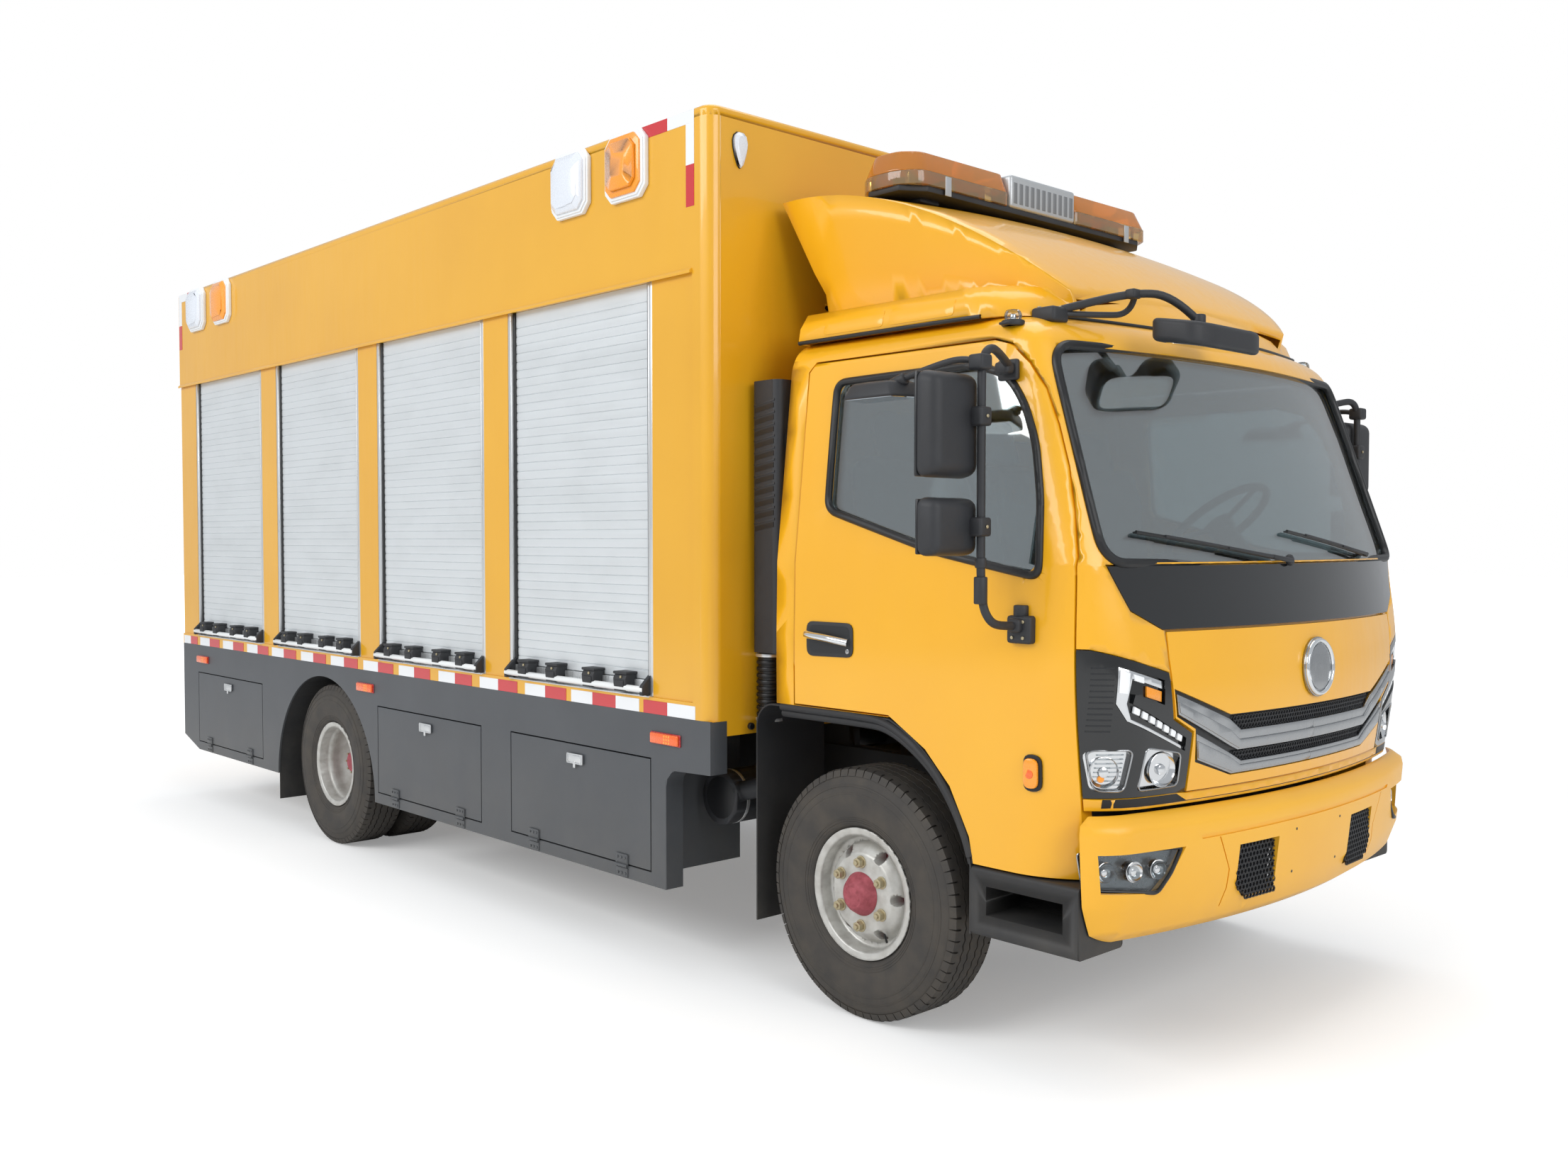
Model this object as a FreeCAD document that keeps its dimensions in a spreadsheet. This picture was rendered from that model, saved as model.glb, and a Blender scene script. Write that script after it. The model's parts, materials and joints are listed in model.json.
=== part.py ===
import FreeCAD, Part
import math
import os
import re

import Sketcher
from FreeCAD import Placement, Rotation, Vector

# A rescue truck: a cab-over truck whose box carries equipment behind roller shutters.
# Millimetres. +X points forward, +Y to the truck's left, +Z up. The origin lies on the
# ground, under the middle of the truck's length and width.

SIZES = {
    # overall lengths
    "nose_x": 3520,
    "front_overhang": 1125,
    "wheelbase": 3800,
    "rear_overhang": 2082,
    # box body
    "box_front": 1800,
    "box_half": 1175,
    "box_top": 3188,
    "box_base": 910,
    "tape_base": 968,
    "sill_z": 1030,
    "lintel_z": 2600,
    "wall": 40,
    "band_step": 8,
    "front_wall": 60,
    "box_edge_radius": 20,
    "first_post": 348,
    "shutter_width": 1020,
    "post_width": 203,
    "fit_gap": 0.3,
    "guide_width": 45,
    "guide_depth": 38,
    "curtain_depth": 14,
    "lift_bar_radius": 13,
    "lift_bar_z": 1058,
    "lift_bar_out": 22,
    "rear_door_thick": 40,
    "move_gap": 6,
    "lock_rod_radius": 12,
    "hinge_out": 13,
    # skirt and lockers
    "skirt_thick": 10,
    "skirt_base": 308,
    "skirt_front": 1537,
    "skirt_notch_z": 765,
    "skirt_tail_rise": 75,
    "skirt_tail_run": 250,
    "arch_radius": 592,
    "arch_back": 25,
    "lid_low": 365,
    "lid_high": 793,
    "lid_thick": 20,
    "lid_width": 990,
    "rear_lid_back": 1330,
    "middle_lid_mid": -300,
    "front_lid_mid": 947,
    "lid_gap": 6,
    "lid_hinge_out": 7,
    "lid_hinge_drop": 8,
    "pin_gap": 0.5,
    "locker_depth": 430,
    "locker_wall": 8,
    "latch_length": 112,
    "latch_height": 32,
    "latch_z": 737,
    # frame
    "rail_top": 800,
    "rail_height": 180,
    "rail_out": 425,
    "rail_width": 75,
    "rail_skin": 8,
    "frame_front": 3180,
    "frame_inset": 107,
    "member_radius": 45,
    # wheels
    "tyre_radius": 427.5,
    "tyre_half": 117.5,
    "front_wheel_y": 915,
    "rear_wheel_y": 895,
    "twin_half": 135,
    "rim_lip": 223.5,
    "rim_seat": 203,
    "rim_half": 95,
    "rim_skin": 8,
    "tyre_seat_gap": 0.2,
    "hub_radius": 78,
    "drum_radius": 128,
    "spindle_radius": 30,
    "running_gap": 0.8,
    "kingpin_y": 800,
    "kingpin_radius": 18,
    "yoke_sweep": 76,
    # springs
    "spring_y": 387.5,
    "spring_width": 70,
    "hanger_side": 2,
    "front_spring_half": 620,
    "rear_spring_half": 680,
    "eye_z": 575,
    # cab
    "cab_rear": 2000,
    "cab_half": 1030,
    "cab_skin": 40,
    "cab_under": 1045,
    "cab_floor_thick": 45,
    "front_under": 830,
    "bow_radius": 3400,
    "belt_z": 1550,
    "belt_front": 3448,
    "roof_eave_z": 2230,
    "roof_eave_front": 3204,
    "roof_eave_half": 958,
    "pillar_round": 100,
    "pillar_edge": 20,
    "door_rear": 2095,
    "door_front": 3255,
    "door_base": 622,
    "door_top": 2245,
    "door_skin": 40,
    "seam": 6,
    "panel_thick": 20,
    "glass_inset": 10,
    "glass_thick": 5,
    "steering_wheel_radius": 215,
    # front bumper
    "bumper_half": 1068,
    "bumper_rear": 3296,
    "bumper_skin": 22,
    "bumper_beam_x": 3330,
    # front mudguards and steps
    "guard_rear": 1887,
    "guard_top": 1040,
    "guard_front": 2891,
    "guard_thick": 6,
    "step_base": 400,
    "step_inner": 800,
    # roof pieces
    "fairing_rear": 1850,
    "fairing_skin": 25,
    "bar_x": 2245,
    "bar_half": 760,
    "bar_low": 2875,
    "bar_high": 2995,
    "bar_deep": 290,
}

doc = FreeCAD.newDocument("rescue_truck")
sheet = doc.addObject("Spreadsheet::Sheet", "Size")
for row, (alias, number) in enumerate(SIZES.items(), start=1):
    sheet.set(f"A{row}", alias)
    sheet.set(f"B{row}", str(number))
    sheet.setAlias(f"B{row}", alias)
doc.recompute()

size = {alias: float(sheet.get(alias)) for alias in SIZES}
# Places that follow from the sizes, each as the formula that the document is given.
PLACES = {
    "rear_axle_x": "(nose_x - front_overhang - wheelbase)",
    "box_rear": "(nose_x - front_overhang - wheelbase - rear_overhang)",
    "frame_rear": "(nose_x - front_overhang - wheelbase - rear_overhang + frame_inset)",
    "rear_lid_mid": "(nose_x - front_overhang - wheelbase - rear_lid_back)",
}
WORDS = re.compile(r"\b(" + "|".join(sorted([*SIZES, *PLACES], key=len, reverse=True)) + r")\b")
TURNS = {"x": Rotation(Vector(0, 1, 0), 90), "y": Rotation(Vector(1, 0, 0), -90), "z": Rotation()}
LEFT, RIGHT = 1, -1
FRONT_AXLE = "(nose_x - front_overhang)"
REAR_AXLE = "rear_axle_x"
front_axle_x = size["nose_x"] - size["front_overhang"]
rear_axle_x = front_axle_x - size["wheelbase"]
size["box_rear"] = rear_axle_x - size["rear_overhang"]
nodes = []


# ---------------------------------------------------------------- helpers

def bound(text):
    """The expression with each place written out, and each size's name turned into its cell in the sheet."""
    return WORDS.sub(lambda found: bound(PLACES[found[1]]) if found[1] in PLACES else f"Size.{found[1]}",
                     text)


def set_size(thing, prop, text):
    thing.setExpression(prop, bound(text))


def put(thing, x="0", y="0", z="0"):
    for axis, text in (("x", x), ("y", y), ("z", z)):
        set_size(thing, "Placement.Base." + axis, text)
    return thing


def block(name, x, y, z):
    """A box between the lower and upper limit given for each axis."""
    thing = doc.addObject("Part::Box", name)
    for prop, (low, high) in (("Length", x), ("Width", y), ("Height", z)):
        set_size(thing, prop, f"({high}) - ({low})")
    return put(thing, x[0], y[0], z[0])


def rod(name, axis, radius, reach, *middle):
    """A round bar along an axis between the limits in reach; middle is its place on the other two."""
    thing = doc.addObject("Part::Cylinder", name)
    thing.Placement = Placement(Vector(), TURNS[axis])
    set_size(thing, "Radius", radius)
    set_size(thing, "Height", f"({reach[1]}) - ({reach[0]})")
    place = dict(zip((letter for letter in "xyz" if letter != axis), middle))
    place[axis] = reach[0]
    return put(thing, **place)


def joined(name, *things):
    thing = doc.addObject("Part::MultiFuse", name)
    thing.Shapes = list(things)
    return thing


def together(name, *things):
    """Solids that don't touch, kept in one piece."""
    thing = doc.addObject("Part::Compound", name)
    thing.Links = list(things)
    return thing


def without(name, base, tool):
    thing = doc.addObject("Part::Cut", name)
    thing.Base, thing.Tool = base, tool
    return thing


def node(thing, label):
    thing.Label = label
    nodes.append(thing)
    return thing


def other_side(thing, label):
    """The same piece on the truck's right-hand side."""
    copy = doc.addObject("Part::Mirroring", label)
    copy.Source, copy.Normal = thing, Vector(0, 1, 0)
    return node(copy, label)


def both_sides(thing, label):
    """One node with the piece and its twin on the truck's right-hand side."""
    twin = doc.addObject("Part::Mirroring", label + "_other_side")
    twin.Source, twin.Normal = thing, Vector(0, 1, 0)
    return node(together(label + "_pair", thing, twin), label)


def feature(name, shape):
    thing = doc.addObject("Part::Feature", name)
    thing.Shape = shape
    thing.Placement = Placement()
    return thing


def plane_of(body, role):
    return next(item for item in body.Origin.OriginFeatures if item.Role == role)


def new_body(name):
    return doc.addObject("PartDesign::Body", name)


def new_sketch(body, role, offset="0"):
    sketch = body.newObject("Sketcher::SketchObject", f"{body.Name}_sketch")
    sketch.AttachmentSupport = (plane_of(body, role), [""])
    sketch.MapMode = "FlatFace"
    set_size(sketch, "AttachmentOffset.Base.z", offset)
    return sketch


def bind_point(sketch, curve, end, across, up, key):
    """Holds one point of the sketch at the distances given from the sketch's origin."""
    for letter, text in (("X", across), ("Y", up)):
        row = sketch.addConstraint(Sketcher.Constraint("Distance" + letter, -1, 1, curve, end, 50.0))
        sketch.renameConstraint(row, f"{key}{letter}")
        set_size(sketch, f"Constraints.{key}{letter}", text)


def draw_loop(sketch, points):
    """A closed outline of straight lines through the points."""
    first, count = sketch.GeometryCount, len(points)
    ring = [Vector(math.cos(2 * math.pi * i / count), math.sin(2 * math.pi * i / count), 0) * 500
            for i in range(count)]
    for i in range(count):
        sketch.addGeometry(Part.LineSegment(ring[i], ring[(i + 1) % count]))
    for i in range(count):
        sketch.addConstraint(Sketcher.Constraint("Coincident", first + i, 2, first + (i + 1) % count, 1))
    for i, (across, up) in enumerate(points):
        bind_point(sketch, first + i, 1, across, up, f"point{first + i}")


def draw_circle(sketch, across, up, radius):
    curve = sketch.addGeometry(Part.Circle(Vector(50, 50, 0), Vector(0, 0, 1), 50))
    bind_point(sketch, curve, 3, across, up, f"centre{curve}")
    row = sketch.addConstraint(Sketcher.Constraint("Radius", curve, 50.0))
    sketch.renameConstraint(row, f"radius{curve}")
    set_size(sketch, f"Constraints.radius{curve}", radius)


def pad(body, sketch, length, middle=False):
    step = body.newObject("PartDesign::Pad", f"{body.Name}_pad")
    step.Profile = sketch
    set_size(step, "Length", length)
    if middle:
        step.SideType = "Symmetric"
    sketch.Visibility = False
    return step


def pocket(body, sketch):
    """Cuts the sketch right through the body, both ways."""
    before = body.Shape.Volume
    step = body.newObject("PartDesign::Pocket", f"{body.Name}_pocket")
    step.Profile = sketch
    step.Type, step.Midplane = "ThroughAll", True
    doc.recompute()
    assert body.Shape.Volume < before, f"{body.Name}: the pocket cuts nothing"
    return step


def plate(name, role, points, offset, length, middle=False):
    """A PartDesign body: one outline, padded."""
    body = new_body(name)
    sketch = new_sketch(body, role, offset)
    draw_loop(sketch, points)
    pad(body, sketch, length, middle)
    return body


def turned(name, points):
    """A PartDesign body turned about the Y axis; each point is (along the axle, radius)."""
    body = new_body(name)
    sketch = new_sketch(body, "YZ_Plane")
    draw_loop(sketch, points)
    step = body.newObject("PartDesign::Revolution", f"{name}_turn")
    step.Profile = sketch
    step.ReferenceAxis = (sketch, ["H_Axis"])
    step.Angle = 360
    doc.recompute()
    return body


def box_between(low, high):
    low, high = Vector(*low), Vector(*high)
    return Part.makeBox(*(high - low), low)


def bar_between(start, end, radius):
    start, end = Vector(*start), Vector(*end)
    return Part.makeCylinder(radius, (end - start).Length, start, end - start)


def bent_bar(points, radius):
    """A round bar through the points, with a ball at each corner."""
    pieces = [bar_between(a, b, radius) for a, b in zip(points, points[1:])]
    pieces += [Part.makeSphere(radius, Vector(*corner)) for corner in points[1:-1]]
    return pieces[0].multiFuse(pieces[1:]).removeSplitter()


def prism(points, axis, low, high):
    """An outline pushed along an axis from low to high; a point holds the other two coordinates."""
    def spot(a, b):
        return {"x": Vector(low, a, b), "y": Vector(a, low, b), "z": Vector(a, b, low)}[axis]
    along = {"x": Vector(1, 0, 0), "y": Vector(0, 1, 0), "z": Vector(0, 0, 1)}[axis]
    corners = [spot(a, b) for a, b in points]
    return Part.Face(Part.makePolygon(corners + corners[:1])).extrude(along * (high - low))


def rounded(solid, axis, radius):
    """The solid with its edges along the axis rounded."""
    along = {"x": Vector(1, 0, 0), "y": Vector(0, 1, 0), "z": Vector(0, 0, 1)}[axis]
    edges = [edge for edge in solid.Edges
             if len(edge.Vertexes) == 2 and edge.tangentAt(edge.FirstParameter).cross(along).Length < 1e-6]
    return solid.makeFillet(radius, edges)


def mirrored(shape):
    return shape.mirror(Vector(), Vector(0, 1, 0))


# ---------------------------------------------------------------- frame and running gear

def chassis_frame():
    rail = block("rail", ("frame_rear", "frame_front"), ("rail_out - rail_width", "rail_out"),
                 ("rail_top - rail_height", "rail_top"))
    hollow = block("rail_hollow", ("frame_rear - 1", "frame_front + 1"),
                   ("rail_out - rail_width - 1", "rail_out - rail_skin"),
                   ("rail_top - rail_height + rail_skin", "rail_top - rail_skin"))
    left = without("rail_left", rail, hollow)
    right = doc.addObject("Part::Mirroring", "rail_right")
    right.Source, right.Normal = left, Vector(0, 1, 0)
    pieces = [left, right]
    for i, x in enumerate(("frame_rear + 80", f"{REAR_AXLE} - rear_spring_half", f"{REAR_AXLE} + 500",
                           "0", "1150", "frame_front - 50")):
        pieces.append(rod(f"cross_member_{i}", "y", "member_radius", ("-rail_out + 1", "rail_out - 1"),
                          x, "rail_top - rail_height / 2"))
    for side, word in ((LEFT, "left"), (RIGHT, "right")):
        middle = f"({side} * (rail_out - rail_width / 2))"
        pieces.append(block(f"box_beam_{word}", ("box_rear", "box_front - 40"),
                            (f"{middle} - 30", f"{middle} + 30"), ("rail_top", "box_base")))
        for end, x in (("front", "3010"), ("rear", "2085")):
            pieces.append(block(f"cab_mount_{end}_{word}", (f"{x} - 45", f"{x} + 45"),
                                (f"{middle} - 35", f"{middle} + 35"), ("rail_top", "cab_under")))
        pieces.append(block(f"bumper_bracket_{word}", ("frame_front - 100", "bumper_beam_x"),
                            (f"{middle} - 30", f"{middle} + 30"), ("rail_top - 160", "rail_top - 30")))
        pieces.append(block(f"underrun_hanger_{word}", ("frame_rear", "frame_rear + 70"),
                            (f"{middle} - 30", f"{middle} + 30"), ("430", "rail_top - rail_height")))
        for axle, half in ((FRONT_AXLE, "front_spring_half"), (REAR_AXLE, "rear_spring_half")):
            for way in ("-", "+"):
                pieces.append(block(f"spring_hanger_{word}_{len(pieces)}",
                                    (f"{axle} {way} {half} - 30", f"{axle} {way} {half} + 30"),
                                    (f"{side} * spring_y - spring_width / 2 - hanger_side",
                                     f"{side} * spring_y + spring_width / 2 + hanger_side"),
                                    ("eye_z + 22", "rail_top - rail_height")))
    node(joined("chassis", *pieces), "chassis_frame")


def leaf_spring(name, axle, half, seat_z, stack):
    """A bowed pack of leaves from eye to eye, with its clamp plate down to the axle."""
    low = [("-" + half, "eye_z - 22"), (f"-{half} * 0.5", f"({seat_z} + eye_z - 22) * 0.5 - 12"),
           ("-140", seat_z), ("140", seat_z), (f"{half} * 0.5", f"({seat_z} + eye_z - 22) * 0.5 - 12"),
           (half, "eye_z - 22")]
    high = [(half, "eye_z + 22"), (f"{half} * 0.5", f"({seat_z} + eye_z + 22) * 0.5 + {stack} * 0.35"),
            ("140", f"{seat_z} + {stack}"), ("-140", f"{seat_z} + {stack}"),
            (f"-{half} * 0.5", f"({seat_z} + eye_z + 22) * 0.5 + {stack} * 0.35"), ("-" + half, "eye_z + 22")]
    body = plate(name, "XZ_Plane", low + high, "0", "spring_width", middle=True)
    return put(body, axle, "spring_y", "0")


def running_gear():
    front = leaf_spring("front_spring", FRONT_AXLE, "front_spring_half", "tyre_radius + 15", "40")
    rear = leaf_spring("rear_spring", REAR_AXLE, "rear_spring_half", "tyre_radius + 62", "62")
    both_sides(together("springs_one_side", front, rear), "leaf_springs")

    across = (f"{FRONT_AXLE} - 40", f"{FRONT_AXLE} + 40")
    beam = block("axle_beam", across, ("-kingpin_y + yoke_sweep", "kingpin_y - yoke_sweep"),
                 ("tyre_radius - 75", "tyre_radius + 15"))
    neck = block("axle_neck", across, ("-kingpin_y + 30", "kingpin_y - 30"),
                 ("tyre_radius - 45", "tyre_radius + 15"))
    bosses = [rod(f"king_boss_{side + 1}", "z", "42", ("tyre_radius - 50", "tyre_radius + 50"),
                  FRONT_AXLE, f"{side} * kingpin_y") for side in (LEFT, RIGHT)]
    bores = [rod(f"king_bore_{side + 1}", "z", "kingpin_radius + running_gap",
                 ("tyre_radius - 90", "tyre_radius + 90"), FRONT_AXLE, f"{side} * kingpin_y")
             for side in (LEFT, RIGHT)]
    node(without("axle_front", joined("axle_front_solid", beam, neck, *bosses),
                 together("king_bores", *bores)),
         "front_axle")

    housing = doc.addObject("Part::Sphere", "diff_housing")
    housing.Radius = 165
    put(housing, REAR_AXLE, "0", "tyre_radius")
    drum_face = "rear_wheel_y - twin_half - rim_half"
    tube = rod("axle_tube", "y", "62", (f"-({drum_face})", drum_face), REAR_AXLE, "tyre_radius")
    spindles = rod("rear_spindles", "y", "spindle_radius", ("-rear_wheel_y - 60", "rear_wheel_y + 60"),
                   REAR_AXLE, "tyre_radius")
    node(joined("axle_rear", housing, tube, spindles), "rear_axle")


def steering_knuckle():
    yoke = block("yoke", (f"{FRONT_AXLE} - 50", f"{FRONT_AXLE} + 50"), ("kingpin_y - 48", "kingpin_y + 68"),
                 ("tyre_radius - 92", "tyre_radius + 92"))
    mouth = block("yoke_mouth", (f"{FRONT_AXLE} - 60", f"{FRONT_AXLE} + 60"),
                  ("kingpin_y - 60", "kingpin_y + 47"),
                  ("tyre_radius - 54", "tyre_radius + 54"))
    pin = rod("king_pin", "z", "kingpin_radius", ("tyre_radius - 80", "tyre_radius + 80"), FRONT_AXLE,
              "kingpin_y")
    spindle = rod("front_spindle", "y", "spindle_radius", ("kingpin_y + 60", "front_wheel_y + 85"),
                  FRONT_AXLE, "tyre_radius")
    arm = block("steering_arm", (f"{FRONT_AXLE} - 190", f"{FRONT_AXLE} - 40"),
                ("kingpin_y - 20", "kingpin_y + 15"),
                ("tyre_radius - 92", "tyre_radius - 62"))
    clear = without("yoke_open", yoke, mouth)
    left = node(joined("knuckle", clear, pin, spindle, arm), "steering_knuckle_left")
    other_side(left, "steering_knuckle_right")


def rim_outline(disc):
    """The rim's section about the axle: the barrel, then the disc's own points towards the hub."""
    barrel = [("-rim_half", "rim_lip"), ("-rim_half + 7", "rim_lip"), ("-rim_half + 13", "rim_seat"),
              ("-45", "rim_seat"), ("-28", "rim_seat - 15"), ("28", "rim_seat - 15"), ("45", "rim_seat"),
              ("rim_half - 13", "rim_seat"), ("rim_half - 7", "rim_lip"), ("rim_half", "rim_lip"),
              ("rim_half", "rim_lip - rim_skin"), ("rim_half - 6", "rim_seat - rim_skin"),
              ("48", "rim_seat - rim_skin")]
    tail = [("-48", "rim_seat - rim_skin"), ("-rim_half + 6", "rim_seat - rim_skin"),
            ("-rim_half", "rim_lip - rim_skin")]
    return barrel + disc + tail


def holed_wheel(name, points, hole_place, hole_radius):
    """A turned wheel with six round hand holes through its disc."""
    body = turned(name, points)
    sketch = new_sketch(body, "XZ_Plane")
    draw_circle(sketch, hole_place, "0", hole_radius)
    hole = pocket(body, sketch)
    ring = body.newObject("PartDesign::PolarPattern", f"{name}_ring")
    ring.Originals = [hole]
    ring.Axis = (plane_of(body, "Y_Axis"), [""])
    ring.Angle, ring.Occurrences = 360, 6
    body.Tip = ring
    doc.recompute()
    return body


def tyre_outline():
    half = "tyre_half"
    shape = [("rim_half - 14", "rim_seat + tyre_seat_gap"), ("rim_half - 9", "rim_lip + 3"),
             (f"{half} - 14", "rim_lip + 16"), (f"{half} - 3", "rim_lip + 60"), (half, "rim_lip + 95"),
             (f"{half} - 3", "tyre_radius - 62"), (f"{half} - 13", "tyre_radius - 22"),
             (f"{half} - 25", "tyre_radius - 3"), (f"{half} - 32", "tyre_radius")]
    return shape + [(f"-({across})", up) for across, up in reversed(shape)]


def wheels():
    bore = "spindle_radius + running_gap"
    outer_disc = [("40", "rim_seat - 30"), ("rim_half - 30", "rim_seat - 42"),
                  ("rim_half - 4", "hub_radius + 52"),
                  ("rim_half - 4", "hub_radius - 4"), ("rim_half + 25", "hub_radius - 22"),
                  ("rim_half + 38", "40"), ("rim_half + 38", "0"), ("rim_half + 4", "0"),
                  ("rim_half + 4", bore), ("-30", bore), ("-30", "drum_radius"), ("28", "drum_radius"),
                  ("30", "rim_seat - 30"), ("-30", "rim_seat - 15 - rim_skin")]
    front = holed_wheel("front_wheel", rim_outline(outer_disc), "hub_radius + 72", "18")
    put(front, FRONT_AXLE, "front_wheel_y", "tyre_radius")
    other_side(node(front, "front_rim_left"), "front_rim_right")
    tyre = turned("front_tyre", tyre_outline())
    put(tyre, FRONT_AXLE, "front_wheel_y", "tyre_radius")
    other_side(node(tyre, "front_tyre_left"), "front_tyre_right")

    mate, gap = "twin_half", "spindle_radius + running_gap"
    deep_disc = [("30", "rim_seat - 15 - rim_skin"), ("-20", "rim_seat - 24"),
                 (f"-{mate} + 40", "hub_radius + 62"),
                 (f"-{mate} + 12", "hub_radius + 40"), (f"-{mate} + 12", "hub_radius - 4"),
                 ("-20", "hub_radius - 12"), ("0", "hub_radius - 30"),
                 ("0", "0"), ("-70", "0"), ("-70", gap), (f"-{mate}", gap), (f"-{mate}", "hub_radius + 44"),
                 (f"-{mate} + 28", "hub_radius + 74"), ("-32", "rim_seat - 24")]
    outer = holed_wheel("rear_wheel_outer", rim_outline(deep_disc), "hub_radius + 60", "20")
    put(outer, REAR_AXLE, "rear_wheel_y + twin_half", "tyre_radius")
    facing = [("32", "rim_seat - 24"), (f"{mate} - 28", "hub_radius + 74"), (mate, "hub_radius + 44"),
              (mate, gap), ("-rim_half + 5", gap), ("-rim_half + 5", "drum_radius"), ("10", "drum_radius"),
              ("30", "hub_radius + 52"), (f"{mate} - 12", "hub_radius + 40"),
              (f"{mate} - 40", "hub_radius + 62"),
              ("20", "rim_seat - 24"), ("-30", "rim_seat - 15 - rim_skin")]
    inner = turned("rear_wheel_inner", rim_outline(facing))
    put(inner, REAR_AXLE, "rear_wheel_y - twin_half", "tyre_radius")
    rims = joined("rear_rims", outer, inner)
    other_side(node(rims, "rear_rims_left"), "rear_rims_right")
    pair = []
    for word, way in (("outer", "+"), ("inner", "-")):
        tyre = turned(f"rear_tyre_{word}", tyre_outline())
        pair.append(put(tyre, REAR_AXLE, f"rear_wheel_y {way} twin_half", "tyre_radius"))
    other_side(node(together("rear_tyres", *pair), "rear_tyres_left"), "rear_tyres_right")


def drive_line():
    engine = block("engine", ("2050", "2960"), ("-300", "300"), ("470", "940"))
    gearbox = block("gearbox", ("1500", "2050"), ("-150", "150"), ("480", "730"))
    mounts = [block(f"engine_mount_{x}", (str(x), f"{x} + 80"),
                    ("-rail_out + rail_skin", "rail_out - rail_skin"), ("660", "720")) for x in (2200, 2780)]
    motor = joined("engine_and_gearbox", engine, gearbox, *mounts)
    core = block("radiator_core", ("frame_front - 190", "frame_front - 50 - member_radius - fit_gap"),
                 ("-330", "330"),
                 ("520", "960"))
    node(core, "radiator")
    start = (1500 - size["fit_gap"], 0, 555)
    end = (rear_axle_x + 160, 0, size["tyre_radius"] + 20)
    shaft = bar_between(start, end, 38)
    collar = Part.makeSphere(165 + size["fit_gap"], Vector(rear_axle_x, 0, size["tyre_radius"]))
    node(together("motor_and_shaft", motor, feature("shaft", shaft.cut(collar))), "power_train")
    tank = block("tank", ("-750", "350"), ("rail_out + 8", "rail_out + 240"), ("400", "790"))
    straps = [block(f"tank_strap_{x}", (str(x), f"{x} + 60"), ("rail_out", "rail_out + 9"), ("640", "780"))
              for x in (-650, 190)]
    node(joined("tank_with_straps", tank, *straps), "fuel_tank")
    can = rod("silencer_can", "x", "105", ("-500", "300"), "-rail_out - 135", "640")
    pipe = rod("tail_pipe", "x", "32", ("-760", "-490"), "-rail_out - 135", "600")
    strap = block("silencer_strap", ("-150", "-60"), ("-rail_out - 60", "-rail_out"), ("650", "740"))
    node(joined("silencer_with_pipe", can, pipe, strap), "silencer")


# ---------------------------------------------------------------- box body

def box_panels():
    body = new_body("side_wall")
    sketch = new_sketch(body, "XZ_Plane", "-box_half")
    front = "box_front - front_wall"
    draw_loop(sketch, [("box_rear", "tape_base"), (front, "tape_base"), (front, "box_top - wall"),
                       ("box_rear", "box_top - wall")])
    pad(body, sketch, "wall")
    hole = new_sketch(body, "XZ_Plane")
    first = "box_front - first_post"
    draw_loop(hole, [(f"{first} - shutter_width", "sill_z"), (first, "sill_z"), (first, "lintel_z"),
                     (f"{first} - shutter_width", "lintel_z")])
    doc.recompute()
    cut = pocket(body, hole)
    row = body.newObject("PartDesign::LinearPattern", "shutter_row")
    row.Originals = [cut]
    row.Direction = (plane_of(body, "X_Axis"), [""])
    row.Reversed = True
    row.Occurrences = 4
    set_size(row, "Length", "3 * (shutter_width + post_width)")
    body.Tip = row
    doc.recompute()
    recess = block("post_recess", ("box_rear - 1", f"{front} - 40"), ("box_half - band_step", "box_half + 1"),
                   ("tape_base + 62", "lintel_z"))
    wall = without("side_wall_stepped", body, recess)
    both_sides(wall, "box_sides")

    lower = block("floor_lower", ("box_rear", "box_front"),
                  ("-box_half + skirt_thick", "box_half - skirt_thick"),
                  ("box_base", "tape_base"))
    upper = block("floor_upper", ("box_rear", "box_front - front_wall"),
                  ("-box_half + wall", "box_half - wall"),
                  ("tape_base", "sill_z"))
    node(joined("floor_panel", lower, upper), "box_floor")

    wall_block = block("front_panel_block", ("box_front - front_wall", "box_front"),
                       ("-box_half", "box_half"),
                       ("tape_base", "box_top - wall"))
    rounded_wall = doc.addObject("Part::Fillet", "front_panel_rounded")
    rounded_wall.Base = wall_block
    doc.recompute()
    edges = [i for i, edge in enumerate(wall_block.Shape.Edges, start=1)
             if all(abs(v.X - size["box_front"]) < 0.01 for v in edge.Vertexes)
             and abs(edge.Vertexes[0].Z - edge.Vertexes[1].Z) > 1]
    radius = size["front_wall"] - 5
    rounded_wall.Edges = [(i, radius, radius) for i in edges]
    node(rounded_wall, "box_front_wall")

    roof_block = block("roof_block", ("box_rear", "box_front"), ("-box_half", "box_half"),
                       ("box_top - wall", "box_top"))
    doc.recompute()
    rounded_roof = doc.addObject("Part::Fillet", "roof_rounded")
    rounded_roof.Base = roof_block
    soft = size["box_edge_radius"]
    edge_list = []
    for i, edge in enumerate(roof_block.Shape.Edges, start=1):
        upright = abs(edge.Vertexes[0].Z - edge.Vertexes[1].Z) > 1
        at_front = all(abs(v.X - size["box_front"]) < 0.01 for v in edge.Vertexes)
        on_top = all(abs(v.Z - size["box_top"]) < 0.01 for v in edge.Vertexes)
        if upright and at_front:
            edge_list.append((i, radius, radius))
        elif on_top:
            edge_list.append((i, soft, soft))
    rounded_roof.Edges = edge_list
    node(rounded_roof, "box_roof")


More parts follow.
